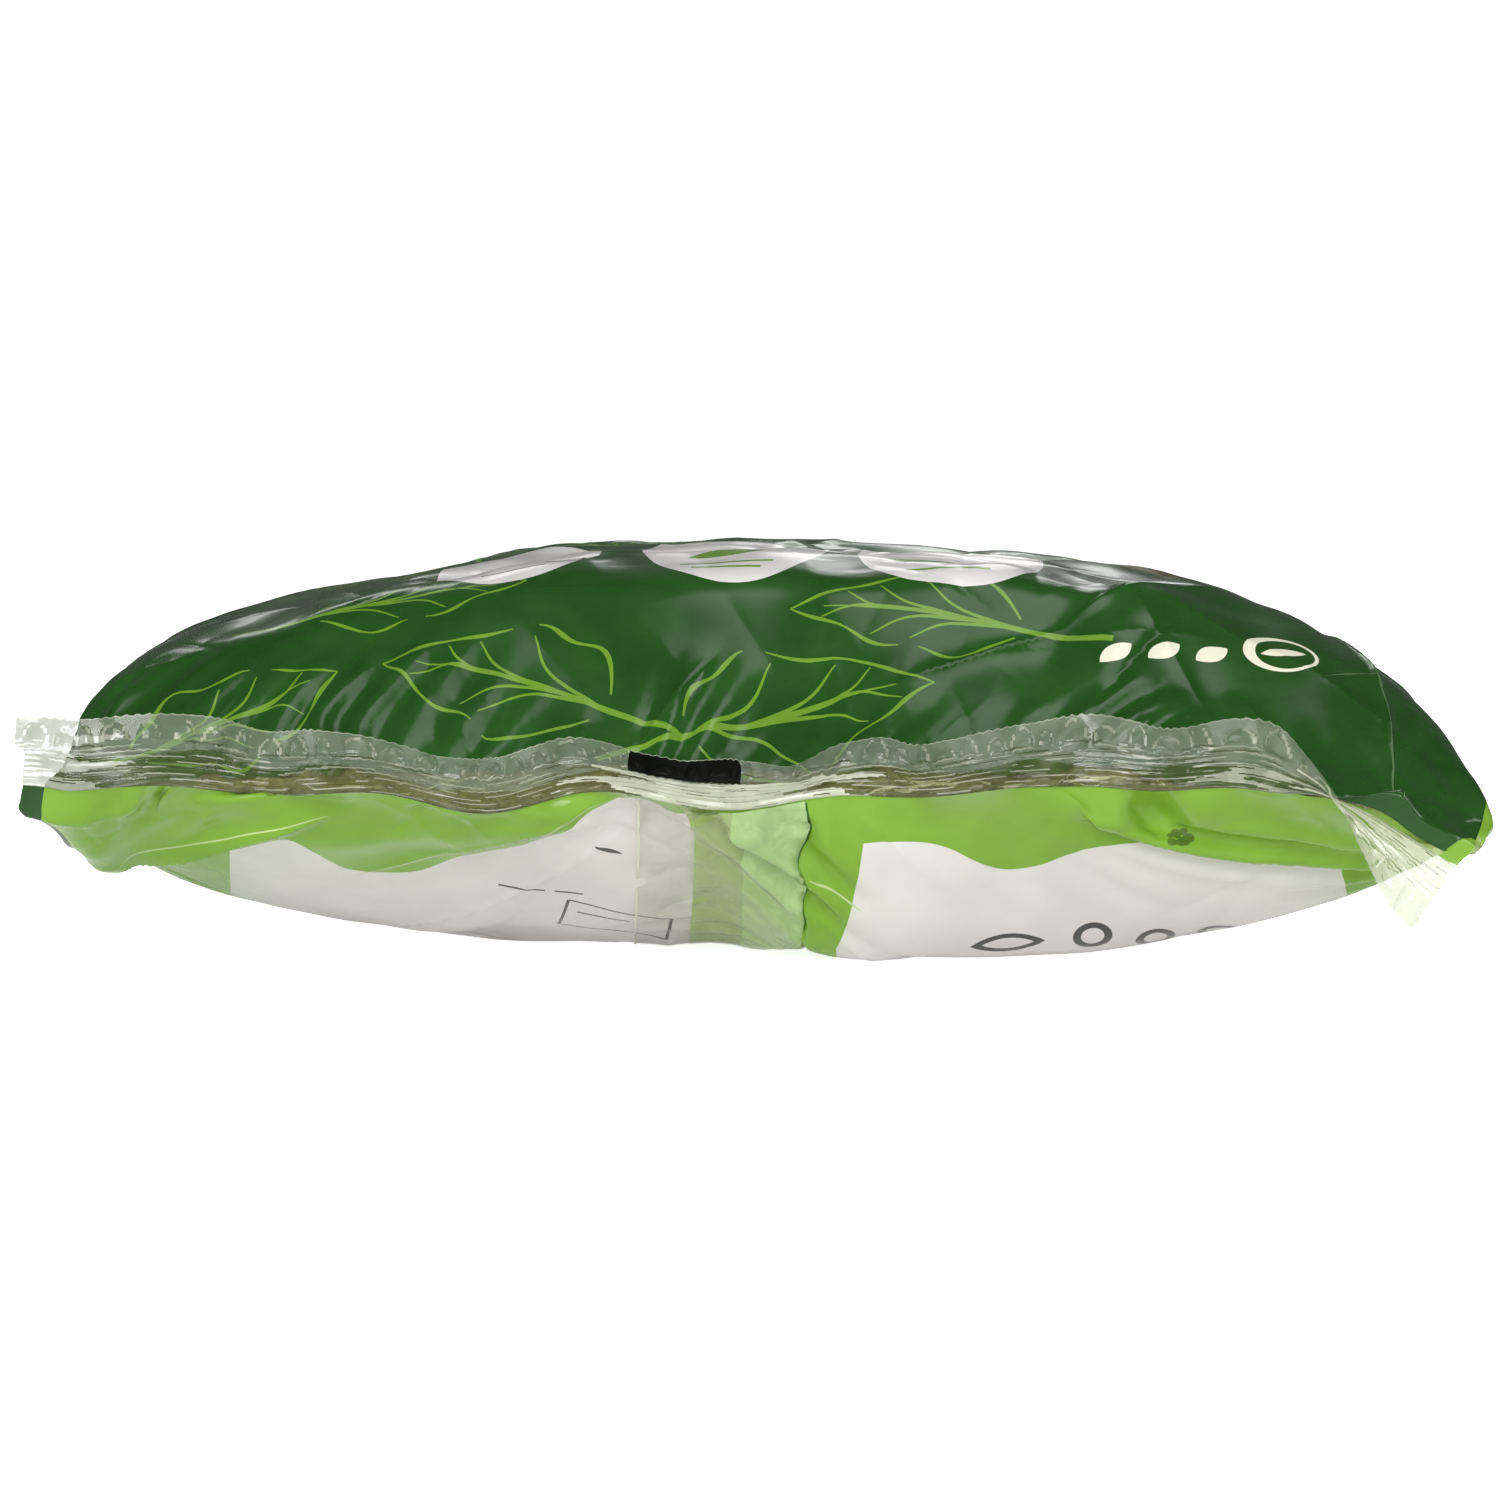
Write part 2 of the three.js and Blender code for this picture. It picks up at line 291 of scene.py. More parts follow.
GIVE = 0.7  # how much of a shortfall the film makes up at once: it buckles rather than shrinks
APART_REACH, APART_SLOPE, APART_MOST = 26, 0.35, 5  # the panels' least gap beside a seal
SWING_KEPT = 0.82  # the share of its last move that the film keeps
LONGEST_MOVE, FARTHEST_PULL = 1.5, 4
ROUNDS_PER_LOOK = 6  # the form is looked at again after this many rounds
SETTLING = ((280, 0.10, 0.05), (200, 0.05, 0.03), (140, 0.03, 0.03))  # rounds, pull, stiffness
SEAL_OPENING = 14.0  # how far from a seal's root the panels part


class SealRoot:
    """The line along which a seal grips both panels. It waves, because the film is wider."""

    def __init__(self, x_start, x_end, height, sign, phase):
        self.x = np.linspace(x_start, x_end, 4001)
        side = np.abs(self.x) / np.where(self.x < 0, LEFT_CORNER, RIGHT_CORNER)
        self.straight = sign * (BODY_LENGTH / 2 + corner_reach(side))
        self.height = height(self.x)
        wave = np.sin(self.x / 9.5 + phase) + 0.55 * np.sin(self.x / 5.3 + 2 + phase)
        wave += 0.35 * np.sin(self.x / 16 + 1)
        ends = smooth(self.x, x_start, x_start + 12) * (1 - smooth(self.x, x_end - 44, x_end - 26))
        self.wave = wave * ends
        self.lift = 0.25 * np.sin(self.x / 7 + phase) * ends
        low, high = 0.0, 9.0
        while high - low > 1e-4:
            swing = (low + high) / 2
            low, high = (swing, high) if self._bend(swing) < FILM_WIDTH else (low, swing)
        self._bend(low)

    def _bend(self, swing):
        y = self.straight + swing * self.wave
        self.points = np.stack([self.x, y, self.height + swing * self.lift], -1)
        steps = np.linalg.norm(np.diff(self.points, axis=0), axis=1)
        self.run = np.concatenate([[0], np.cumsum(steps)])
        return self.run[-1]

    def at(self, from_left):
        """Points at distances along the film's width, from the left fold."""
        run = self.run * (FILM_WIDTH / self.run[-1])
        return np.stack([np.interp(from_left, run, self.points[:, i]) for i in range(3)], -1)


def even_out(points, first, second, rest, give):
    """Moves pairs of points towards their distance on the flat film. It hardly stretches."""
    a, b = points[first], points[second]
    gap = b - a
    length = np.sqrt(np.einsum("...i,...i->...", gap, gap)) + 1e-9
    strain = (length - rest) / length
    gap *= (np.where(strain > 0, 1.0, give) * strain * 0.5)[..., None]
    a += gap
    b -= gap


def hold_lengths(points, around, along, stiffness):
    """One pass over the film's threads, its shear and its resistance to bending."""
    slant = np.hypot(around, along)
    rows = points.shape[1]
    for shift in (0, 1):
        turned = np.roll(points, -shift, 0)
        even_out(turned, np.s_[0::2], np.s_[1::2], around, GIVE)
        for start in (0, 1):
            count = 2 * ((rows - start) // 2)
            low, high = slice(start, start + count, 2), slice(start + 1, start + 1 + count, 2)
            even_out(turned, np.s_[0::2, low], np.s_[1::2, high], slant, GIVE)
            even_out(turned, np.s_[1::2, low], np.s_[0::2, high], slant, GIVE)
        points[:] = np.roll(turned, shift, 0)
        count = 2 * ((rows - shift) // 2)
        low, high = slice(shift, shift + count, 2), slice(shift + 1, shift + 1 + count, 2)
        even_out(points, np.s_[:, low], np.s_[:, high], along, GIVE)
    curl = 0.5 * (np.roll(points, 1, 0) + np.roll(points, -1, 0)) - points
    points += stiffness * (curl - 0.5 * (np.roll(curl, 1, 0) + np.roll(curl, -1, 0)))
    curl = 0.5 * (points[:, 2:] + points[:, :-2]) - points[:, 1:-1]
    points[:, 2:-2] += stiffness * (curl[:, 1:-1] - 0.5 * (curl[:, 2:] + curl[:, :-2]))


def keep_panels_apart(points, along):
    """Beside a seal the front panel stays above the back one, and more so further in."""
    around, rows = points.shape[:2]
    half = around // 2
    reach = np.arange(1, int(APART_REACH / along) + 1)
    inner = np.arange(1, half)
    from_fold = np.minimum(inner, half - inner) * (2 * FILM_WIDTH / around)
    least = np.minimum(APART_SLOPE * reach * along, APART_MOST)[None]
    least = least * np.minimum(1, from_fold / 9)[:, None]
    for near_rows in (reach, rows - 1 - reach):
        front = points[1:half, near_rows, 2]
        back = points[around - 1 : half : -1, near_rows, 2]
        push = np.maximum(least - (front - back), 0) / 2
        points[1:half, near_rows, 2] += push
        points[around - 1 : half : -1, near_rows, 2] -= push


def relax(points, rounds, pull, stiffness, near_root, far_root):
    """Lets the film settle over the form: its lengths hold, and what is spare wrinkles."""
    around, rows = points.shape[:2]
    pitch_around = 2 * FILM_WIDTH / around
    pitch_along = FILM_LENGTH / (rows - 1)
    place = np.arange(around) * pitch_around
    from_left = np.where(place <= FILM_WIDTH, place, 2 * FILM_WIDTH - place)
    near_line, far_line = near_root.at(from_left), far_root.at(from_left)
    from_end = np.arange(rows) * pitch_along
    free = smooth(np.minimum(from_end, FILM_LENGTH - from_end), 2, 14)[None, :]
    back_middle = 1.5 * FILM_WIDTH
    over_flap = (place > back_middle - SEAM_TO - 4) & (place < back_middle - SEAM_FROM + 4)
    lowest = np.where(over_flap, 1.0, TABLE_GAP)[:, None]
    before = points.copy()
    for turn in range(rounds):
        if turn % ROUNDS_PER_LOOK == 0:
            distance, outwards = form_planes(points)
            known = points.copy()
        carry = (points - before) * SWING_KEPT
        speed = np.linalg.norm(carry, axis=-1, keepdims=True)
        carry *= np.minimum(1, LONGEST_MOVE / np.maximum(speed, 1e-9))
        before = points.copy()
        points = points + carry
        off = distance + np.einsum("...i,...i->...", outwards, points - known)
        off = np.clip(off, -FARTHEST_PULL, FARTHEST_PULL)
        points -= (pull * free * off)[..., None] * outwards
        for _ in range(2):
            hold_lengths(points, pitch_around, pitch_along, stiffness)
        keep_panels_apart(points, pitch_along)
        points[..., 2] = np.maximum(points[..., 2], lowest)
        points[:, 0], points[:, -1] = near_line, far_line
    return points


def refine(points):
    """Twice the points each way, by cubic interpolation."""
    around, rows = points.shape[:2]
    between = 9 * (points + np.roll(points, -1, 0))
    between = (between - np.roll(points, 1, 0) - np.roll(points, -2, 0)) / 16
    finer = np.empty((2 * around, rows, 3))
    finer[0::2], finer[1::2] = points, between
    ends = np.concatenate([2 * finer[:, :1] - finer[:, 1:2], finer, 2 * finer[:, -1:] - finer[:, -2:-1]], 1)
    between = (9 * (ends[:, 1:-2] + ends[:, 2:-1]) - ends[:, :-3] - ends[:, 3:]) / 16
    finest = np.empty((2 * around, 2 * rows - 1, 3))
    finest[:, 0::2], finest[:, 1::2] = finer, between
    return finest


def open_from_seals(points, reach):
    """Each panel leaves a seal's root on its own side, and the root's gathers run straight in."""
    rows = int(round(reach * (points.shape[1] - 1) / FILM_LENGTH))
    t = (np.arange(rows + 1) / rows)[None, :, None]
    turn = np.sin(2 * np.pi * np.arange(points.shape[0]) / points.shape[0])[:, None]
    side, firmness = np.sign(turn), np.minimum(4 * np.abs(turn), 1)
    for film_end, inwards in ((points, 1), (points[:, ::-1], -1)):
        root, stop = film_end[:, :1], film_end[:, rows : rows + 1]
        slope = (film_end[:, rows + 3 : rows + 4] - film_end[:, rows - 1 : rows]) * (rows / 4)
        chord = stop - root
        leave = 2 * chord - slope
        length = np.linalg.norm(chord, axis=-1)
        leave[..., 1] = inwards * np.maximum(inwards * leave[..., 1], 0.3 * length)
        opened = side * np.maximum(side * leave[..., 2], 0.3 * length * firmness)
        leave[..., 2] = np.where(np.abs(turn) < 1e-6, leave[..., 2], opened)
        bend = 3 * chord - 2 * leave - slope
        film_end[:, : rows + 1] = root + leave * t + bend * t**2 + (leave + slope - 2 * chord) * t**3
    return points


def pull_taut(points, share, rounds):
    """Smooths the film where it is pulled tight, by a share between 0 and 1."""
    for _ in range(rounds):
        level = np.roll(points, 1, 0) + np.roll(points, -1, 0)
        level[:, 1:-1] += points[:, 2:] + points[:, :-2]
        level[:, 1:-1] /= 4
        points[:, 1:-1] += (share[..., None] * (level - points))[:, 1:-1]


def shape_corners(points):
    """The left corner sags into an ear, the right one stands out, and the front dips above the seam."""
    around, rows = points.shape[:2]
    place = np.arange(around)[:, None] * (2 * FILM_WIDTH / around)
    v = np.arange(rows)[None, :] * (FILM_LENGTH / (rows - 1))
    from_left = np.minimum(place, 2 * FILM_WIDTH - place)
    from_right = np.abs(place - FILM_WIDTH)
    in_front = place < FILM_WIDTH

    taut = np.exp(-((from_left / 26) ** 2)) * smooth(v, 6, 15) * (1 - smooth(v, 34, 60))
    pull_taut(points, taut, 14)

    ear_width = np.where(place > FILM_WIDTH, 22, 7)
    ear = np.exp(-((from_left / ear_width) ** 4)) * (1 - smooth(v, 42, 96))
    shoulder = bump(from_left, 12, 14) * in_front * smooth(v, 2, 14) * (1 - smooth(v, 34, 80))
    points[..., 0] += 3.5 * ear * smooth(v, 5, 24) - 3.0 * shoulder
    points[..., 2] -= ear * (6.6 * np.clip(v / 8, 0, 1) + 6.4 * smooth(v, 8, 32))

    tip = np.exp(-((from_right / 22) ** 2)) * np.clip(v / 6, 0, 1) * (1 - smooth(v, 14, 110))
    points[..., 0] += 4.2 * tip
    points[..., 2] += 3.6 * tip

    dent = bump(points[..., 0], 9, 14) * smooth(v, 0, 9) * (1 - smooth(v, 16, 44))
    points[..., 2] -= 4.5 * dent * in_front
    return points


near_seal_root = SealRoot(-LEFT_CORNER, TAIL_END, near_root_height, -1, 0.0)
far_seal_root = SealRoot(-LEFT_CORNER, RIGHT_CORNER, far_root_height, 1, 2.0)


def settle_film():
    """The film, as points round the tube from its left fold and along it, relaxed and refined."""
    around, rows = 80, 47
    place = np.arange(around) * (2 * FILM_WIDTH / around)
    front = (place <= FILM_WIDTH)[:, None] & np.ones((1, rows), bool)
    u = np.where(place <= FILM_WIDTH, place, 2 * FILM_WIDTH - place) - HALF_FILM
    across = (u / HALF_FILM)[:, None] + np.zeros((1, rows))
    along = np.linspace(0, 1, rows)[None, :] + np.zeros((around, 1))
    points = form_point(front, across, along)
    points += np.random.default_rng(3).normal(0, 0.3, points.shape)
    for stage, (rounds, pull, stiffness) in enumerate(SETTLING):
        if stage:
            points = refine(points)
        points = relax(points, rounds, pull, stiffness, near_seal_root, far_seal_root)
    return shape_corners(open_from_seals(points, SEAL_OPENING))


RAISED_SHARE = 0.65  # of the creases that stand out, and the rest are hollows


def random_creases(seed, ends, middle, sides):
    """Creases as (u, v, direction, length, width, height): off both seals, anywhere, off the folds."""
    rng = np.random.default_rng(seed)
    half = HALF_FILM

    def height(width):
        return width * rng.uniform(0.12, 0.3) * (1 if rng.random() < RAISED_SHARE else -1)

    found = []
    for end in (0, 1):
        for _ in range(ends):
            u, v = rng.uniform(-half + 8, half - 8), rng.uniform(1, 9)
            length, width = rng.uniform(12, 46), rng.uniform(0.8, 2.0)
            lean = rng.normal(0, 0.5)
            turn = math.pi / 2 - lean if end == 0 else -math.pi / 2 + lean
            v = v if end == 0 else FILM_LENGTH - v
            found.append((u, v, turn, length, width, height(width)))
    for _ in range(middle):
        u, v = rng.uniform(-half + 20, half - 20), rng.uniform(30, FILM_LENGTH - 30)
        length, width = rng.uniform(22, 90), rng.uniform(1.0, 3.4)
        found.append((u, v, rng.uniform(0, 2 * math.pi), length, width, height(width)))
    for side in (-1, 1):
        for _ in range(sides):
            v, length = rng.uniform(12, FILM_LENGTH - 12), rng.uniform(14, 44)
            turn = rng.normal(0, 0.5) + (0 if side < 0 else math.pi)
            width = rng.uniform(1.0, 2.6)
            found.append((side * (half - 5), v, turn, length, width, height(width)))
    return found


def crease_between(start, end, width, height):
    """A crease from place to place, in the same form."""
    run = np.subtract(end, start)
    return (*start, math.atan2(run[1], run[0]), float(np.hypot(*run)), width, height)


CREASES = {
    "front": random_creases(21, 34, 44, 12)
    + [
        crease_between((144, 6), (140, 40), 1.2, 1.5),
        crease_between((140, 40), (135, 66), 1.2, 1.7),
        crease_between((135, 66), (122, 125), 1.8, 1.7),
        crease_between((75, 34), (92, 80), 1.8, -1.2),
        crease_between((105, 48), (120, 30), 1.8, 1.1),
        crease_between((33, 38), (66, 62), 2.0, 1.1),
        crease_between((66, 62), (98, 112), 2.2, 1.3),
        crease_between((-28, 14), (-8, 46), 1.6, 1.0),
        crease_between((-26, 12), (-20, 40), 1.2, -0.8),
        crease_between((-128, 22), (-112, 46), 1.4, 1.0),
        crease_between((-108, 18), (-96, 40), 1.5, -1.0),
        crease_between((-150, 20), (-132, 70), 1.8, 1.2),
    ],
    "back": random_creases(34, 22, 14, 8)
    + [
        crease_between((-134, 76), (-113, 90), 2.0, -1.2),
        crease_between((-86, 45), (-29, 4), 0.9, 0.6),
        crease_between((-82, 92), (-28, 21), 0.9, 0.55),
        crease_between((-8, 14), (9, 26), 0.9, 0.6),
        crease_between((12, 34), (34, 60), 1.0, 0.8),
        crease_between((17, 20), (24, 34), 1.2, 0.6),
        crease_between((-66, 3), (-58, 20), 1.2, 0.8),
        crease_between((-70, 3), (-78, 22), 1.3, -0.8),
        crease_between((75, 3), (80, 17), 1.2, 1.0),
        crease_between((88, 3), (92, 19), 1.2, -0.8),
        crease_between((-120, 6), (-118, 22), 1.3, 0.9),
    ],
}

SEAM_LINE = 11.5  # where both edges of the film are welded and turned out
EAR_FOLD = (-150.0, 58.0), (-90.0, 16.0)  # the fold across the sagging left corner


def seam_line(v):
    """The weld wanders, and swings to the right by the near seal."""
    return SEAM_LINE + 0.3 * np.sin(v / 9) + 3.6 * (1 - smooth(v, 2, 30))


def fold_wave(x):
    """Flats that meet at sharp ridges and hollows, between -1 and 1."""
    return 2 * np.abs((x + 0.5) % 2 - 1) - 1


def crumple(u, v, phase):
    """Slack film lies in shallow facets whose edges wander, more in some patches than in others."""
    across = u + 7 * np.sin(v / 29 + phase) + 3 * np.sin(v / 11 + 2 * phase)
    along = v + 8 * np.sin(u / 33 + phase) + 3 * np.sin(u / 13 - phase)
    broad = fold_wave((0.83 * across + 0.55 * along) / 21 + phase)
    crossing = fold_wave((0.35 * across - 0.94 * along) / 27 + 2 * phase)
    fine = fold_wave((0.98 * across - 0.2 * along) / 10.5 - phase)
    slack = 0.6 + 0.4 * np.sin(u / 37 + phase + 1.3 * np.sin(v / 45))
    loose = smooth(np.sin(u / 23 - v / 31 + 2 * phase), -0.4, 0.8)
    gathers = fold_wave((u + 0.3 * v * np.sin(u / 23 + phase)) / 6.5)
    from_end = np.minimum(v, FILM_LENGTH - v)
    gathers = 0.3 * gathers * np.exp(-from_end / 13)
    return (0.5 * broad + 0.42 * crossing) * slack + 0.2 * fine * loose + gathers


def seam_puckers(u, v):
    """The welded seam draws the film into a narrow pleat, with a pinched knot part way along."""
    off = np.abs(u - seam_line(v))
    pleat = -1.7 * np.exp(-np.sqrt(off**2 + 0.05) / 0.9) - 0.9 * bump(off, 0, 8)
    gathers = 0.3 * np.sin(v / 1.5 + 1.3 * np.sin(v / 5)) * np.exp(-off / 3) * (0.25 + bump(v, 44, 16))
    knots = 1.5 * bump(v, 30, 3.5) * bump(off, 0, 1.8) + 1.8 * bump(v, 48, 6) * bump(off, 0, 4)
    return (pleat + gathers + knots) * smooth(v, 3, 12)


def ear_fold(u, v):
    """The ear folds over along a sharp line: it slopes gently on the seal's side, and drops past it."""
    length, along, aside = measure_line(u, v, *EAR_FOLD)
    ends = smooth(along, 0, 14) * (1 - smooth(along, 0.75 * length, 1.1 * length))
    return 3.2 * ends * np.exp(-np.where(aside < 0, -aside / 1.8, aside / 11))


def crease_height(panel, u, v):
    """How far creases lift the film off its settled shape. They fade at the folds and the seals."""
    height = crumple(u, v, 0.9 if panel == "front" else 2.3) * (1.0 if panel == "front" else 0.55)
    for start_u, start_v, turn, length, width, amount in CREASES[panel]:
        across, up = math.cos(turn), math.sin(turn)
        along = (u - start_u) * across + (v - start_v) * up
        aside = (u - start_u) * up - (v - start_v) * across
        ends = smooth(along, -0.15 * length, 0.25 * length)
        ends = ends * (1 - smooth(along, 0.7 * length, 1.15 * length))
        height = height + amount * ends * np.exp(-np.sqrt(aside**2 + 0.06) / width)
    if panel == "back":
        height = height + seam_puckers(u, v) + ear_fold(u, v)
    from_end = np.minimum(v, FILM_LENGTH - v)
    return height * smooth(HALF_FILM - np.abs(u), 0, 9) * smooth(from_end, 0, 7)


DEPTH_SHARES = 0.08, 0.3  # of the way from a panel to the other, within which the greens lie


class FilmTube:
    """The settled film, read at any place on either panel."""

    def __init__(self, points):
        self.points = points
        around = np.roll(points, -1, 0) - np.roll(points, 1, 0)
        along = np.gradient(points, axis=1)
        self.normals = unit(np.cross(around, along))
        self.pitch_around = 2 * FILM_WIDTH / points.shape[0]
        self.pitch_along = FILM_LENGTH / (points.shape[1] - 1)

    def _read(self, table, place, v):
        """Cubic reading of a table at places round the tube and along it."""
        around, rows = table.shape[:2]
        column, row = place / self.pitch_around, np.clip(v / self.pitch_along, 0, rows - 1.000001)
        i, j = np.floor(column).astype(int), np.floor(row).astype(int)
        found = 0
        for a, wa in zip(range(-1, 3), cubic_weights(column - i)):
            for b, wb in zip(range(-1, 3), cubic_weights(row - j)):
                picked = table[(i + a) % around, np.clip(j + b, 0, rows - 1)]
                found = found + picked * (wa * wb)[..., None]
        return found

    def _creased(self, panel, u, v):
        place = u + HALF_FILM if panel == "front" else 1.5 * FILM_WIDTH - u
        outwards = unit(self._read(self.normals, place, v))
        return self._read(self.points, place, v) + outwards * crease_height(panel, u, v)[..., None]

    def at(self, panel, u, v, out=0.0):
        """Points on a panel, moved out from it, and the way out."""
        u, v = np.broadcast_arrays(np.asarray(u, float), np.asarray(v, float))
        step = 0.4
        across = self._creased(panel, u + step, v) - self._creased(panel, u - step, v)
        along = self._creased(panel, u, v + step) - self._creased(panel, u, v - step)
        outwards = unit(np.cross(across, along)) * (1 if panel == "front" else -1)
        points = self._creased(panel, u, v) + outwards * np.asarray(out)[..., None]
        points[..., 2] = np.maximum(points[..., 2], TABLE_GAP / 2)
        return points, outwards

    def between(self, panel, u, v, depth):
        """Places inside the bag, at a depth from a panel but never past the middle."""
        near = self._creased(panel, u, v)
        across = self._creased("back" if panel == "front" else "front", u, v) - near
        room = np.maximum(np.linalg.norm(across, axis=-1), 1e-6)
        return near + across * np.clip(depth / room, *DEPTH_SHARES)[..., None]


def cubic_weights(t):
    """The shares of four points in a row, at t between the two middle ones."""
    return (
        0.5 * (-t + 2 * t**2 - t**3),
        0.5 * (2 - 5 * t**2 + 3 * t**3),
        0.5 * (t + 4 * t**2 - 3 * t**3),
        0.5 * (-(t**2) + t**3),
    )


film = FilmTube(settle_film())

# ---------------------------------------------------------------- shader helper


class Value:
    """A shader socket that sums and scales like a number."""

    def __init__(self, nodes, socket):
        self.nodes, self.socket = nodes, socket

    def _math(self, operation, a, b=0.0):
        return self.nodes.node("ShaderNodeMath", {"operation": operation}, {0: a, 1: b})

    def __add__(self, other):
        return self._math("ADD", self, other)

    def __sub__(self, other):
        return self._math("SUBTRACT", self, other)

    def __rsub__(self, other):
        return self._math("SUBTRACT", other, self)

    def __mul__(self, other):
        return self._math("MULTIPLY", self, other)

    def __pow__(self, other):
        return self._math("POWER", self, other)

    __radd__, __rmul__ = __add__, __mul__

    def absolute(self):
        return self._math("ABSOLUTE", self)

    def clamped(self):
        return self._math("MAXIMUM", self._math("MINIMUM", self, 1.0), 0.0)


class Nodes:
    """The nodes of a material or of the world."""

    def __init__(self, owner):
        owner.use_nodes = True
        self.tree = owner.node_tree
        self.tree.nodes.clear()

    def node(self, kind, settings=None, inputs=None, out=0):
        """Adds a node, sets it up, and gives one of its outputs as a value."""
        made = self.tree.nodes.new(kind)
        for name, value in (settings or {}).items():
            if name == "stops":
                self._set_stops(made.color_ramp, value)
            else:
                setattr(made, name, value)
        for name, value in (inputs or {}).items():
            if isinstance(value, Value):
                self.tree.links.new(value.socket, made.inputs[name])
            else:
                made.inputs[name].default_value = value
        return Value(self, made.outputs[out]) if made.outputs else None

    @staticmethod
    def _set_stops(ramp, stops):
        while len(ramp.elements) < len(stops):
            ramp.elements.new(1.0)
        for element, (position, shade) in zip(ramp.elements, stops):
            element.position = position
            element.color = (shade, shade, shade, 1)


class Finish(Nodes):
    """One material, built node by node."""

    def __init__(self, name):
        self.material = bpy.data.materials.new(name)
        super().__init__(self.material)

    def mix(self, factor, first, second):
        first, second = ((*c, 1) if isinstance(c, tuple) else c for c in (first, second))
        inputs = {0: factor, 6: first, 7: second}
        return self.node("ShaderNodeMix", {"data_type": "RGBA"}, inputs, out=2)

    def noise(self, scale, detail=2.0, roughness=0.5, distortion=0.0):
        """Noise in the piece's own space."""
        place = self.node("ShaderNodeTexCoord", out="Object")
        inputs = {"Scale": scale, "Detail": detail, "Roughness": roughness}
        inputs.update({"Distortion": distortion, "Vector": place})
        return self.node("ShaderNodeTexNoise", None, inputs)

    def ramp(self, value, *stops):
        """A value spread over stops, each a position and its shade of grey."""
        return self.node("ShaderNodeValToRGB", {"stops": stops}, {0: value})

    def bump(self, height, distance, strength=1.0):
        inputs = {"Height": height, "Distance": distance, "Strength": strength}
        return self.node("ShaderNodeBump", None, inputs)

    def surface(self, **inputs):
        """Closes the material with a surface that has these named inputs."""
        named = {name.replace("_", " "): value for name, value in inputs.items()}
        for name, value in named.items():
            if isinstance(value, tuple) and len(value) == 3:
                named[name] = (*value, 1)
        shader = self.node("ShaderNodeBsdfPrincipled", None, named)
        self.node("ShaderNodeOutputMaterial", None, {0: shader})
        return self.material


def srgb(red, green, blue):
    """A colour read off a screen, as the shader takes it."""
    shades = (c / 255 for c in (red, green, blue))
    return tuple(((s + 0.055) / 1.055) ** 2.4 if s > 0.04045 else s / 12.92 for s in shades)


# ---------------------------------------------------------------- finishes


def film_wrinkle(finish):
    """Fine slack in thin film: a soft orange peel and a few long sharp creases."""
    peel = finish.noise(420, detail=3, roughness=0.55)
    broad = finish.noise(95, detail=2, distortion=0.6)
    crease = (1 - (broad - 0.5).absolute() * 14).clamped() ** 3
    return peel * 0.25 + crease * 0.12


def printed(name, colour, shade=0.12, roughness=0.2, gloss=0.24):
    """Ink on the inside of glossy film, with painted shade in random blotches that stands in for the greens
    pressed behind it.
    """
    finish = Finish(name)
    # painted shade: random blotches darken the ink, and lighten it a little, for the greens' shadows behind
    # the film
    painted_shade_mottle = finish.ramp(finish.noise(55, detail=3, roughness=0.6), (0.35, 0.0), (0.7, 1.0))
    dark = tuple(c * (1 - 2 * shade) for c in colour)
    light = tuple(min(c * (1 + shade), 1) for c in colour)
    return finish.surface(
        Base_Color=finish.mix(painted_shade_mottle, dark, light),
        Roughness=finish.noise(160, detail=2) * 0.12 + (roughness - 0.06),
        Normal=finish.bump(film_wrinkle(finish), 0.0002, 0.22),
        Specular_IOR_Level=gloss,
        Coat_Weight=gloss * 0.6,
        Coat_Roughness=0.06,
    )


def film_sheet(name, colour, cover, streaks):
    """Clear film: how much it covers what is behind it, and how much more along its creases."""
    finish = Finish(name)
    streak = finish.noise(120, detail=3, roughness=0.6, distortion=1.0)
    streak = finish.ramp(streak, (0.48, 0.0), (0.66, 1.0))
    return finish.surface(
        Base_Color=colour,
        Roughness=finish.noise(90) * 0.12 + 0.1,
        Alpha=(streak * streaks + cover).clamped(),
        Normal=finish.bump(film_wrinkle(finish), 0.0003, 0.4),
        Coat_Weight=0.6,
        Coat_Roughness=0.05,
    )


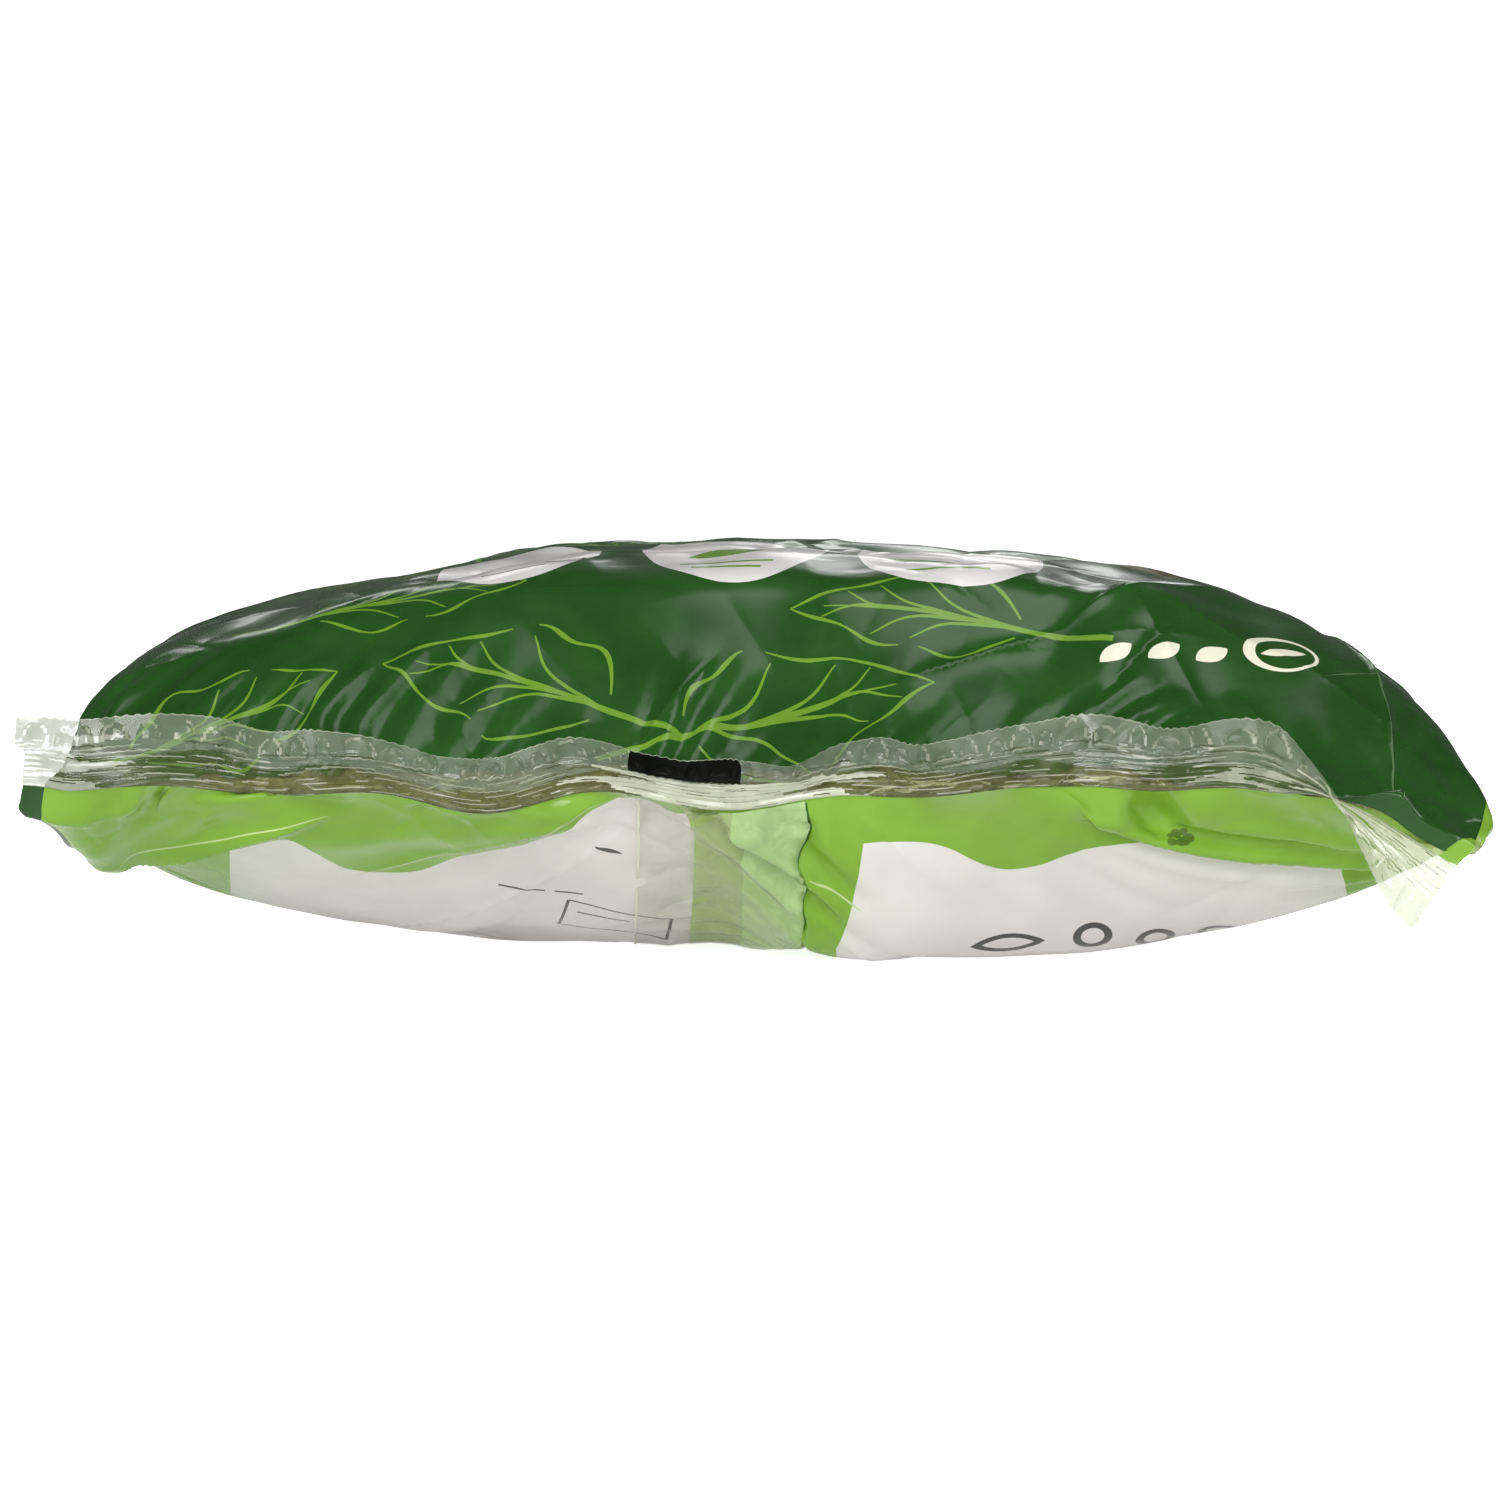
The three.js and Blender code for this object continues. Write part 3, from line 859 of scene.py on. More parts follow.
INKS = {
    "dark_green": printed("ink_dark_green", srgb(35, 76, 27)),
    "line_green": printed("ink_line_green", srgb(103, 144, 43), 0.05),
    "light_green": printed("ink_light_green", srgb(121, 164, 52), 0.05),
    # pale green print, and also a painted highlight on the back panel's right corner tip
    "pale_green": printed("ink_pale_green", srgb(152, 176, 100), 0.04),
    "white": printed("ink_white", srgb(213, 210, 207), 0.03),
    "cream": printed("ink_cream", srgb(226, 224, 200), 0.04),
    "olive": printed("ink_olive", srgb(84, 72, 26), 0.2),
    "grey": printed("ink_grey", srgb(66, 68, 62), 0.06),
    "black": printed("ink_black", srgb(9, 10, 6), 0.1, 0.5, 0.08),
    "smudge": printed("ink_smudge", srgb(84, 112, 42), 0.2),
    # painted shade along the seam's pleat
    "seam_shade": printed("seam_shade", srgb(54, 96, 26), 0.1),
    # painted highlights: pale lines along sharp creases, lighter on the back panel and dimmer on the dark
    # front
    "crease_painted_highlight": printed("crease_painted_highlight", srgb(188, 208, 146), 0.1),
    "crease_dim": printed("crease_dim", srgb(84, 116, 74), 0.1),
    "flap_green": film_sheet("flap_green", srgb(182, 210, 146), 0.62, 0.16),
    "flap_pale": film_sheet("flap_pale", srgb(170, 188, 130), 0.6, 0.14),
    "clear": film_sheet("film_clear", srgb(150, 156, 112), 0.1, 0.2),
    "seal_film": film_sheet("seal_film", srgb(140, 150, 132), 0.4, 0.16),
    "seal_crimp": film_sheet("seal_crimp", srgb(116, 122, 76), 0.22, 0.14),
    # the next ink is a painted highlight on the ribs' crests, the blister rims, the outer edge and one
    # glossy patch; the one after it is painted shade in the ribs' hollows
    "seal_highlight": film_sheet("seal_highlight", srgb(188, 192, 172), 0.44, 0.2),
    "seal_shade": film_sheet("seal_shade", srgb(78, 76, 42), 0.4, 0.2),
    "seal_pale": film_sheet("seal_pale", srgb(158, 164, 148), 0.78, 0.12),
    "seal_bright": film_sheet("seal_bright", srgb(206, 210, 188), 0.72, 0.1),
    # painted highlight: a bright line along a seal's root, where its underside is in shade
    "seal_root": film_sheet("seal_root", srgb(236, 240, 220), 0.85, 0.1),
}
INK = {name: number for number, name in enumerate(INKS)}  # the number that a face's ink goes by

# ---------------------------------------------------------------- meshes


def make_piece(name, points, faces, normals=None, inks=None, replaces=()):
    """A mesh piece from points in millimetres, riding on the bag."""
    mesh = bpy.data.meshes.new(name)
    mesh.from_pydata((np.asarray(points) * MM).tolist(), [], np.asarray(faces).tolist())
    mesh.polygons.foreach_set("use_smooth", [True] * len(mesh.polygons))
    if normals is not None:
        mesh.normals_split_custom_set_from_vertices(np.asarray(normals).tolist())
    if inks is not None:
        used = sorted(set(np.asarray(inks).tolist()))
        finishes = list(INKS.values())
        for ink in used:
            mesh.materials.append(finishes[ink])
        mesh.polygons.foreach_set("material_index", np.searchsorted(used, inks).tolist())
    piece = bpy.data.objects.new(name, mesh)
    bpy.context.scene.collection.objects.link(piece)
    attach(piece, "root")
    if replaces:
        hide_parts(*replaces)
    return piece


def sheet_faces(columns, rows):
    """The faces of a sheet whose points run row after row in each column."""
    index = np.arange(columns * rows).reshape(columns, rows)
    return np.stack([index[:-1, :-1], index[1:, :-1], index[1:, 1:], index[:-1, 1:]], -1).reshape(-1, 4)


# ---------------------------------------------------------------- print: outlines on the flat film


LINE_SPACING = 1.1  # between the points of a curved line


def flowing(points):
    """A smooth line through a few places."""
    points = np.asarray(points, float)
    padded = np.concatenate([[2 * points[0] - points[1]], points, [2 * points[-1] - points[-2]]])
    line = []
    for i in range(1, len(padded) - 2):
        count = max(int(np.linalg.norm(padded[i + 1] - padded[i]) / LINE_SPACING), 2)
        for t in np.arange(count) / count:
            line.append(sum(w * p for w, p in zip(cubic_weights(t), padded[i - 1 : i + 3])))
    return np.array(line + [points[-1]])


def ribbon(line, widths):
    """The outline of a stroke along a line, as wide as the widths say from start to end."""
    along = unit(np.gradient(line, axis=0))
    aside = np.stack([-along[:, 1], along[:, 0]], -1)
    width = np.interp(np.linspace(0, 1, len(line)), np.linspace(0, 1, len(widths)), widths)
    return np.concatenate([line + aside * width[:, None] / 2, (line - aside * width[:, None] / 2)[::-1]])


def turned(points, centre, turn):
    """Points round the origin, turned and moved to a centre."""
    c, s = np.cos(turn), np.sin(turn)
    return points @ np.array([[c, s], [-s, c]]) + centre


def oval(centre, across, along, turn=0.0, count=40, power=2.0):
    """An oval, squarer as its power grows past 2."""
    angle = np.linspace(0, 2 * np.pi, count, endpoint=False)
    c, s = np.cos(angle), np.sin(angle)
    x = across / 2 * np.sign(c) * np.abs(c) ** (2 / power)
    y = along / 2 * np.sign(s) * np.abs(s) ** (2 / power)
    return turned(np.stack([x, y], -1), centre, turn)


def leaf_shape(centre, length, width, turn):
    """A plain pointed leaf."""
    t = np.linspace(0, 1, 14)
    half = width / 2 * np.sin(np.pi * t) ** 0.8
    outline = np.concatenate([np.stack([t * length, half], -1), np.stack([t * length, -half], -1)[-2:0:-1]])
    return turned(outline - [length / 2, 0], centre, turn)


def leaf_drawing(foot, length, width, turn, sway, rng):
    """Brush strokes of a leaf: a bold stalk, a few veins swept forward, and a broken wavy outline."""

    def on_rib(at):
        return np.array([at * length, sway * length * at * abs(at)])

    def edge(at, side, wave):
        swell = np.sin(np.pi * np.clip(at, 0, 1) ** 0.7) * (1 + 0.11 * np.sin(at * 17 + wave))
        return on_rib(at) + np.array([0, side * swell * width / 2])

    rib = np.array([on_rib(at) for at in np.linspace(-0.38, 0.86, 26)])
    strokes = [ribbon(rib, (1.9, 1.8, 1.7, 1.4, 1.0, 0.7, 0.35))]
    for side in (-1, 1):
        wave = rng.uniform(0, 6)
        outline = np.array([edge(a, side, wave) for a in np.linspace(0.03, 1.0, 36)])
        gap = rng.integers(12, 24)
        weight = rng.uniform(1.0, 1.35)
        strokes.append(ribbon(outline[: gap + 1], (0.5, weight, 0.6, 1.1 * weight, 0.35)))
        strokes.append(ribbon(outline[gap + 3 :], (0.35, 1.1 * weight, 0.55, weight, 0.4)))
        for at in np.array([0.06, 0.24, 0.42]) + rng.uniform(-0.03, 0.03, 3):
            reach = min(at + rng.uniform(0.34, 0.46), 0.95)
            tip = edge(reach, side, wave) * 0.8 + on_rib(reach) * 0.2
            start = on_rib(at)
            middle = (start + tip) / 2 + np.array([0.06 * length, -side * 0.07 * width])
            strokes.append(ribbon(flowing([start, middle, tip]), (1.25, 1.0, 0.7, 0.35)))
    return [turned(stroke, foot, turn) for stroke in strokes]


FRONT_LEAVES = [  # foot, length, width, turn, sway; the first ones face the near seal
    ((-136, 26), 50, 34, 0.34, 0.14),
    ((-32, 30), 52, 34, 2.62, 0.16),
    ((-96, 74), 46, 26, 0.12, -0.12),
    ((-14, 22), 56, 34, 0.46, -0.16),
    ((58, 60), 50, 26, 3.02, 0.12),
]

CREASE_HIGHLIGHTS = {  # painted highlights along sharp creases, as places that each passes
    "front": (
        [(144, 8), (142, 24), (140, 40), (135, 66), (129, 91)],
        [(122, 62), (132, 76), (135, 66)],
    ),
    "back": (
        [(-141, 46), (-132, 37), (-119, 31), (-106, 24), (-92, 17)],
        [(14, 25), (19, 28), (25, 34)],
        [(-86, 45), (-58, 26), (-29, 4)],
    ),
}


def front_print():
    """Fields of colour on the front panel, from the bottom layer up."""
    rng = np.random.default_rng(11)
    half = HALF_FILM
    ripple = np.linspace(-half - 1, half + 1, 120)
    window = 6.5 * smooth(ripple, -4, 2) * (1 - smooth(ripple, 22, 27))
    shown = smooth(ripple, -136, -122) * (1 - smooth(ripple, 114, 126))
    near_edge = np.stack([ripple, 1.5 + (10.3 + window + 0.5 * np.sin(ripple / 9)) * shown], -1)
    far_edge = np.stack([ripple[::-1], FILM_LENGTH - 11 + 0.4 * np.sin(ripple / 8)], -1)
    layers = [("dark_green", np.concatenate([near_edge, far_edge]))]

    leaves = list(FRONT_LEAVES)
    for row in range(4):
        for column in range(4):
            foot = (-112 + 76 * column + 30 * (row % 2), 158 + 58 * row)
            foot = tuple(np.add(foot, rng.uniform(-5, 5, 2)))
            turn = 0.5 + 1.9 * column + 1.3 * row
            leaves.append((foot, rng.uniform(42, 52), rng.uniform(28, 36), turn, rng.uniform(-0.18, 0.18)))
    for foot, length, width, turn, sway in leaves:
        strokes = leaf_drawing(np.array(foot), length, width, turn, sway, rng)
        layers += [("line_green", stroke) for stroke in strokes]

    for centre, across, along, power in (
        ((-53, 118), 37, 86, 2.4),
        ((-6, 111), 40, 88, 2.1),
        ((40, 114), 40, 86, 2.8),
    ):
        layers.append(("white", oval(centre, across, along, 0, 64, power)))
    layers.append(("grey", ribbon(np.linspace([-60, 84], [-46, 84], 6), (0.9, 0.9))))
    layers.append(("grey", oval((-42, 92), 9, 12, 0, 40, 3)))
    layers.append(("white", oval((-42, 92), 7.4, 10.2, 0, 40, 3)))
    layers.append(("line_green", leaf_shape((-7, 96), 20, 9, 0.5)))
    for index, length in enumerate((15, 20)):
        line = np.linspace([-7 - length / 2, 77 + 5 * index], [-7 + length / 2, 77 + 5 * index], 6)
        layers.append(("line_green", ribbon(line, (1.6, 1.6))))
    layers.append(("line_green", leaf_shape((34, 92), 17, 7, -0.5)))
    layers.append(("line_green", ribbon(np.linspace([31, 80], [49, 80], 6), (1.5, 1.5))))
    layers.append(("olive", oval((81, 160), 22, 26, 0.1)))
    layers.append(("dark_green", oval((82, 162), 10, 12, 0.1)))

    for u, v in ((78, 54), (88, 58), (98, 62)):
        layers.append(("cream", leaf_shape((u, v), 9.5, 4.8, 0.9)))
    layers.append(("cream", oval((112, 68), 16, 16, 0.1)))
    layers.append(("dark_green", oval((112.8, 68), 12.6, 13.2, 0.1)))
    layers.append(("cream", leaf_shape((112.5, 68), 10, 3.6, 0.4)))

    layers.append(("cream", oval((0, 250), 150, 66, 0, 80, 2.4)))
    layers.append(("dark_green", oval((0, 250), 142, 59, 0, 80, 2.4)))
    for index in range(5):
        layers.append(("cream", leaf_shape((-44 + 22 * index, 250), 34, 13, 1.57 + 0.3 * (index - 2))))

    layers.append(("light_green", leaf_shape((134, 104), 22, 8, 1.5)))
    # painted highlights along the front's sharp creases
    for places in CREASE_HIGHLIGHTS["front"]:
        layers.append(("crease_dim", ribbon(flowing(places), (0.15, 0.5, 0.3, 0.5, 0.15))))
    fold = [(half + 2, -2), (half - 4.5, -2), (half - 3, 7), (half - 0.5, 16), (half + 2, 20)]
    layers.append(("light_green", np.array(fold)))
    return layers


def back_print():
    """Fields of colour on the back panel, from the bottom layer up."""
    half = HALF_FILM
    ripple = np.linspace(-half - 1, half + 1, 120)
    near_edge = np.stack([ripple, np.full_like(ripple, -2)], -1)
    far_edge = np.stack([ripple[::-1], np.full_like(ripple, FILM_LENGTH - 2)], -1)
    layers = [("light_green", np.concatenate([near_edge, far_edge]))]
    fold = [(-half - 2, -2), (-half + 4.6, -2), (-half + 4.2, 7), (-half + 1.5, 12), (-half + 1.5, 380)]
    layers.append(("dark_green", np.array(fold + [(-half - 2, 380)])))
    for width in (4.0, 1.5):
        layers.append(("light_green", ribbon(np.linspace(*EAR_FOLD, 40), (width, width))))
    # painted highlight: the right corner's tip in paler green, as where it catches the light
    tip = [(half - 12, -2), (half + 2, -2), (half + 2, 26), (half - 2.5, 12)]
    layers.append(("pale_green", np.array(tip)))

    last = FILM_LENGTH - 26
    left_crest = flowing([(-113, 38), (-101, 28), (-91, 39), (-86, 43), (-71, 41), (-62, 32), (-50, 26)])
    layers.append(("white", np.concatenate([left_crest, [[-29, 4], [-14, 8], [-14, last], [-113, last]]])))
    right_crest = flowing([(27, 15), (34, 15), (44, 18), (58, 28), (78, 24), (90, 25), (106, 32), (127, 42)])
    layers.append(("white", np.concatenate([right_crest, [[126, last], [18, last], [19, 47]]])))
    layers.append(("pale_green", np.array([[-14, 2], [-3, 2], [-3, 370], [-14, 370]])))
    seam_v = np.arange(1, 92, 1.2)
    for width in (6.0, 3.0, 1.0):
        seam = np.stack([seam_line(seam_v), seam_v], -1)
        layers.append(("light_green", ribbon(seam, (width, width))))
    # painted shade: dark lines in the seam's narrow pleat
    layers.append(("seam_shade", ribbon(seam[:20], (0.8, 0.9, 0.8, 0.4))))
    layers.append(("seam_shade", ribbon(seam[26:38], (0.2, 0.6, 0.2))))

    box = [(-40, 54), (-18, 64), (-19, 82), (-42, 72), (-40, 54)]
    for a, b in zip(box[:-1], box[1:]):
        layers.append(("grey", ribbon(np.linspace(a, b, 8), (0.7, 0.7))))
    for start, end in (((-55, 48.5), (-45, 49.5)), ((-43, 49.6), (-37, 50.2)), ((-38, 61), (-27, 66))):
        layers.append(("grey", ribbon(np.linspace(start, end, 6), (0.8, 0.8))))
    layers.append(("grey", leaf_shape((-32, 30), 7, 1.6, 0.5)))
    layers.append(("grey", leaf_shape((55, 53), 16, 8, 0.1)))
    layers.append(("white", leaf_shape((55, 53), 11, 4.6, 0.1)))
    for u, v in ((73, 55), (86, 62), (99, 66)):
        layers.append(("grey", oval((u, v), 8.5, 11)))
        layers.append(("white", oval((u, v), 5, 6.8)))
    for number in range(9):
        u, v = 96 + 2.0 * math.sin(2.4 * number), 18.5 + 1.2 * math.sin(4.1 * number + 1)
        across = 2.0 + 0.8 * math.sin(3.3 * number)
        layers.append(("smudge", oval((u, v), across, across * 0.8, 0.4, 12)))
    # painted highlights along the back's sharp creases and the ear's fold
    for places in CREASE_HIGHLIGHTS["back"]:
        layers.append(("crease_painted_highlight", ribbon(flowing(places), (0.15, 0.6, 0.35, 0.5, 0.15))))
    for row in range(9):
        for left, right in ((-104, -24), (34, 118)):
            length = (right - left) * (0.62 + 0.35 * math.sin(row * 2.3 + left) ** 2)
            line = np.linspace([left, 104 + 24 * row], [left + length, 104 + 24 * row], 20)
            layers.append(("grey", ribbon(line, (0.9, 0.9))))
    return layers


def inside(outline, places):
    """Which places lie within an outline."""
    x, y = places[:, 0], places[:, 1]
    found = np.zeros(len(places), bool)
    for (x0, y0), (x1, y1) in zip(outline, np.roll(outline, -1, 0)):
        if y0 != y1:
            crosses = (y0 > y) != (y1 > y)
            found ^= crosses & (x < (x1 - x0) * (y - y0) / (y1 - y0) + x0)
    return found


def film_grid(fine, coarse, fine_until):
    """Places in staggered rows over the flat film, closer together by the near seal."""
    half = HALF_FILM
    row_share, coarsening = 0.87, 40  # rows of even triangles lie closer than their points do
    places, v, row = [], 0.0, 0
    while v < FILM_LENGTH - coarse * 0.4:
        pitch = lerp(fine, coarse, float(smooth(v, fine_until, fine_until + coarsening)))
        count = int(round(FILM_WIDTH / pitch))
        u = np.linspace(-half, half, count + 1)
        if row % 2:
            u = np.concatenate([u[:1], (u[1:] + u[:-1]) / 2, u[-1:]])
        places.append(np.stack([u, np.full_like(u, v)], -1))
        v += pitch * row_share
        row += 1
    u = np.linspace(-half, half, int(FILM_WIDTH / coarse) + 1)
    places.append(np.stack([u, np.full_like(u, FILM_LENGTH)], -1))
    return np.concatenate(places)


OUTLINE_SPACING = 2.2


def on_film(outline):
    """An outline kept within the film, with enough points to bend along with it."""
    outline = np.clip(outline, [-HALF_FILM, 0], [HALF_FILM, FILM_LENGTH])
    points = []
    for start, end in zip(outline, np.roll(outline, -1, 0)):
        count = max(int(np.linalg.norm(end - start) / OUTLINE_SPACING), 1)
        points.append(start + (end - start) * (np.arange(count) / count)[:, None])
    return np.concatenate(points)


def print_panel(name, panel, layers, fine, coarse, fine_until, replaces=()):
    """A panel of film cut along the outlines of its print, each face in the ink on top of it."""
    places = film_grid(fine, coarse, fine_until)
    verts, edges = [places], []
    start = len(places)
    for _, outline in layers:
        outline = on_film(outline)
        verts.append(outline)
        index = start + np.arange(len(outline))
        edges += list(zip(index.tolist(), np.roll(index, -1).tolist()))
        start += len(outline)
    flat = [Vector(p) for p in np.concatenate(verts).tolist()]
    corners, _, faces, *_ = delaunay_2d_cdt(flat, edges, [], 0, 1e-3, False)
    corners = np.array([tuple(p) for p in corners])
    faces = np.array(faces)
    middles = corners[faces].mean(1)
    inks = np.full(len(faces), INK["clear"])
    for ink, outline in layers:
        low, high = outline.min(0), outline.max(0)
        near_by = np.nonzero(((middles > low) & (middles < high)).all(1))[0]
        hit = near_by[inside(outline, middles[near_by])]
        inks[hit] = INK[ink]
    points, normals = film.at(panel, corners[:, 0], corners[:, 1])
    if panel == "back":
        faces = faces[:, ::-1]
    return make_piece(name, points, faces, normals, inks, replaces=replaces)


print_panel("front_panel", "front", front_print(), 1.2, 2.6, 105, ("bag_body",))
print_panel("back_panel", "back", back_print(), 1.35, 2.8, 75, ("bag_body",))

# ---------------------------------------------------------------- end seals


SEAL_LEANS = [  # x, then degrees from straight out: 90 stands up, more leans back over the bag
    (-150, 104), (-110, 106), (-86, 118), (-72, 134), (-62, 144), (-50, 138), (-38, 138), (-25, 150),
    (-12, 149), (0, 148), (8, 162), (15, 160), (22, 153), (28, 146), (39, 136), (50, 132), (62, 116),
    (74, 108), (92, 120), (101, 104), (107, 84), (113, 44), (120, 0), (127, -24), (135, -44), (146, -80),
]


def near_seal_lean(from_left, x):
    """The seal leans back until it rests on the front panel, and its right end rolls over and hangs."""
    places, degrees = zip(*SEAL_LEANS)
    standing = np.interp(x, places, degrees) + 5 * np.sin(x / 13 + 1) + 3 * np.sin(x / 6.1)
    root = near_seal_root.at(from_left)
    for v in (7.0, 11.0, 15.0):
        rise = film.at("front", from_left - HALF_FILM, v)[0] - root
        resting = 176 - np.degrees(np.arctan2(rise[:, 2], rise[:, 1] + 2))
        standing = np.minimum(standing, resting)
    return np.convolve(np.pad(standing, 8, "edge"), np.ones(17) / 17, "valid")


def far_seal_lean(_, x):
    """The seal lies out level, and waves."""
    return 18 * np.sin(x / 30) + 8 * np.cos(x / 13) + 4 * np.sin(x / 6.3)


RIB_PITCH = 1.2
CRIMPED_FROM, CRIMPED_TO = 0.8, 10.6  # beyond that, the two films are loose from each other
CURVED_OVER = 3.2  # how far from its root the seal reaches its full lean
TOOTH_PITCH, BLISTER_PITCH = 1.9, 6.4
SEAL_STEP, SEAL_ROWS = 0.5, 60


def blisters(s, height):
    """Places within the small arched bubbles of the margin: across from -1 to 1, and up from 0 to 1."""
    bent = (s + 2.2 * np.sin(s / 17)) / BLISTER_PITCH
    number = np.floor(bent)
    across = (bent % 1 * 2 - 1) / (0.72 + 0.24 * np.sin(2.4 * number))
    return across, (height - CRIMPED_TO) / (3.9 + 0.8 * np.sin(3.1 * number))


def rib_phase(s, height):
    """The ribs that a height lies above. They wander a little along the seal."""
    return (height + 0.25 * np.sin(s / 9)) / RIB_PITCH


def seal_sheet(root, lean, outwards, from_left):
    """A seal's surface, in columns along it: fine ribs, then small blisters and a saw-toothed edge."""
    base = root.at(from_left)
    ahead = root.at(np.minimum(from_left + 3, FILM_WIDTH)) - root.at(np.maximum(from_left - 3, 0))
    level = unit(ahead * [1, 0, 1])
    rise = np.stack([-level[:, 2], 0 * level[:, 0], level[:, 0]], -1)
    forward = np.array([0.0, outwards, 0.0])
    tooth = np.abs(((from_left / TOOTH_PITCH) % 1) - 0.5) * (1.6 + 0.8 * np.sin(from_left / 3.1))
    depth = SEAL_DEPTH - 0.4 + 0.5 * tooth + 0.5 * np.sin(from_left / 17) + 0.35 * np.sin(from_left / 4.7)
    leaning = np.radians(lean(from_left, base[:, 0]))
    lines = [base]
    stride = depth[:, None] / SEAL_ROWS
    for row in range(SEAL_ROWS):
        angle = leaning * smooth((row + 0.5) / SEAL_ROWS * depth, 0, CURVED_OVER)
        onwards = np.cos(angle)[:, None] * forward + np.sin(angle)[:, None] * rise
        lines.append(lines[-1] + stride * onwards)
    sheet = np.stack(lines, 1)

    height = np.arange(SEAL_ROWS + 1)[None, :] / SEAL_ROWS * depth[:, None]
    out = unit(np.cross(np.gradient(sheet, axis=0), np.gradient(sheet, axis=1)))
    s = from_left[:, None]
    crimped = smooth(height, CRIMPED_FROM, CRIMPED_FROM + 0.6)
    crimped = crimped * (1 - smooth(height, CRIMPED_TO, CRIMPED_TO + 1))
    ribs = 0.1 * np.sin(2 * np.pi * rib_phase(s, height)) * crimped
    ribs = ribs * (0.7 + 0.6 * np.sin(s / 4.3 + 2.9 * np.floor(height / RIB_PITCH)))
    across, up = blisters(s, height)
    arch = 0.9 * np.sqrt(np.clip(1 - across**2 - up**2, 0, 1) * smooth(up, -0.4, 0.1))
    crinkle = np.sin(s / 2.1 + 2 * np.sin(s / 31)) * np.sin(s / 4.3 + height / 3)
    crinkle = 0.16 * crinkle * smooth(height, 2, 10)
    sway = 0.6 * np.sin(s / 12.5) * smooth(height, 2, 14)
    sheet = sheet + out * (ribs + arch + crinkle + sway)[..., None]
    left_step = 2.2 * smooth(height, 8.4, 10) * np.exp(-s / 5)
    tail_slant = 0.2 * height * np.exp((s - FILM_WIDTH) / 12)
    sheet[..., 0] -= left_step + tail_slant
    return sheet


def seal_inks(from_left, bar, pale):
    """The ink of each face of a seal: threads of painted light and shade in the crimp, painted highlights on
    the blister rims, the outer edge and the root, pale parts and the bar.
    """
    columns = len(from_left) - 1
    s = np.repeat((from_left[1:] + from_left[:-1]) / 2, SEAL_ROWS)
    row = np.tile(np.arange(SEAL_ROWS), columns)
    height = (row + 0.5) / SEAL_ROWS * SEAL_DEPTH
    rib = rib_phase(s, height) % 1
    light_and_shade_streaks = np.sin(s / 7.1 + 2.9 * row) + np.sin(s / 3.3 + 5.3 * row)
    crimp = (height > CRIMPED_FROM) & (height < CRIMPED_TO)
    inks = np.full(len(s), INK["seal_film"])
    inks[height < 7 + np.sin(s / 5) + 1.2 * np.sin(s / 23)] = INK["seal_crimp"]
    stray = 7 * np.sin(12.9 * row) + 4 * np.sin(5.7 * row + s / 9)
    for start, end, top, ink, ribbed in pale:
        within = (s > start + stray) & (s < end + stray) & (height < top)
        inks[within] = INK[ink]
        light_and_shade_streaks[within] *= 1.0 if ribbed else 0.45
    # painted shade in the ribs' hollows and painted highlights on their crests, as threads broken up by
    # noise
    inks[(rib > 0.45) & (rib < 0.8) & (light_and_shade_streaks < -0.8) & crimp] = INK["seal_shade"]
    inks[(rib < 0.4) & (light_and_shade_streaks > 0.5) & crimp] = INK["seal_highlight"]
    across, up = blisters(s, height)
    # painted highlight: bright lines along the blister rims and the seal's outer edge
    rim = (np.abs(np.hypot(across, up) - 0.95) < 0.09) & (up > 0.05) & (np.sin(s * 1.7) > -0.5)
    inks[rim | (height > SEAL_DEPTH - 0.3)] = INK["seal_highlight"]
    # painted highlight: a bright line along the root, where the seal's underside is in shade
    inks[height < 0.55] = INK["seal_root"]
    if bar:
        (s0, s1), (h0, h1) = bar
        inks[(s > s0) & (s < s1) & (height > h0) & (height < h1)] = INK["black"]
    return inks


def crimped_seal(name, root, lean, outwards, bar, pale, replaced):
    """A seal from the root that it grips. Its bar and pale parts are given in place along it."""
    from_left = np.arange(0, FILM_WIDTH + SEAL_STEP / 2, SEAL_STEP)
    points = seal_sheet(root, lean, outwards, from_left).reshape(-1, 3)
    faces = sheet_faces(len(from_left), SEAL_ROWS + 1)
    make_piece(name, points, faces, None, seal_inks(from_left, bar, pale), (replaced,))


PALE_PARTS = (  # from, to and up to where the film is cloudier, its ink, and whether its ribs show
    (-20, 13, 20, "seal_pale", True),
    (130, 182, 8.4, "seal_bright", False),
    # painted highlight: a glossy pale patch on the crimp
    (270, 283, 6.2, "seal_highlight", True),
    (294, 350, 20, "seal_bright", True),
)
BAR = (135, 162.5), (8.4, 15.7)  # the black mark, along the seal and up it
crimped_seal("near_seal", near_seal_root, near_seal_lean, -1, BAR, PALE_PARTS, "front_end_seal")
crimped_seal("far_seal", far_seal_root, far_seal_lean, 1, None, (), "rear_end_seal")

# ---------------------------------------------------------------- back seam

FLAP_EDGE = -26.0
FLAP_SEEN_TO = 96  # past this the flap is under the bag, and its mesh is coarser
FLAP_GREEN, FLAP_PALE = 14.5, 25.5  # how far the flap's two bands of print reach from the seam


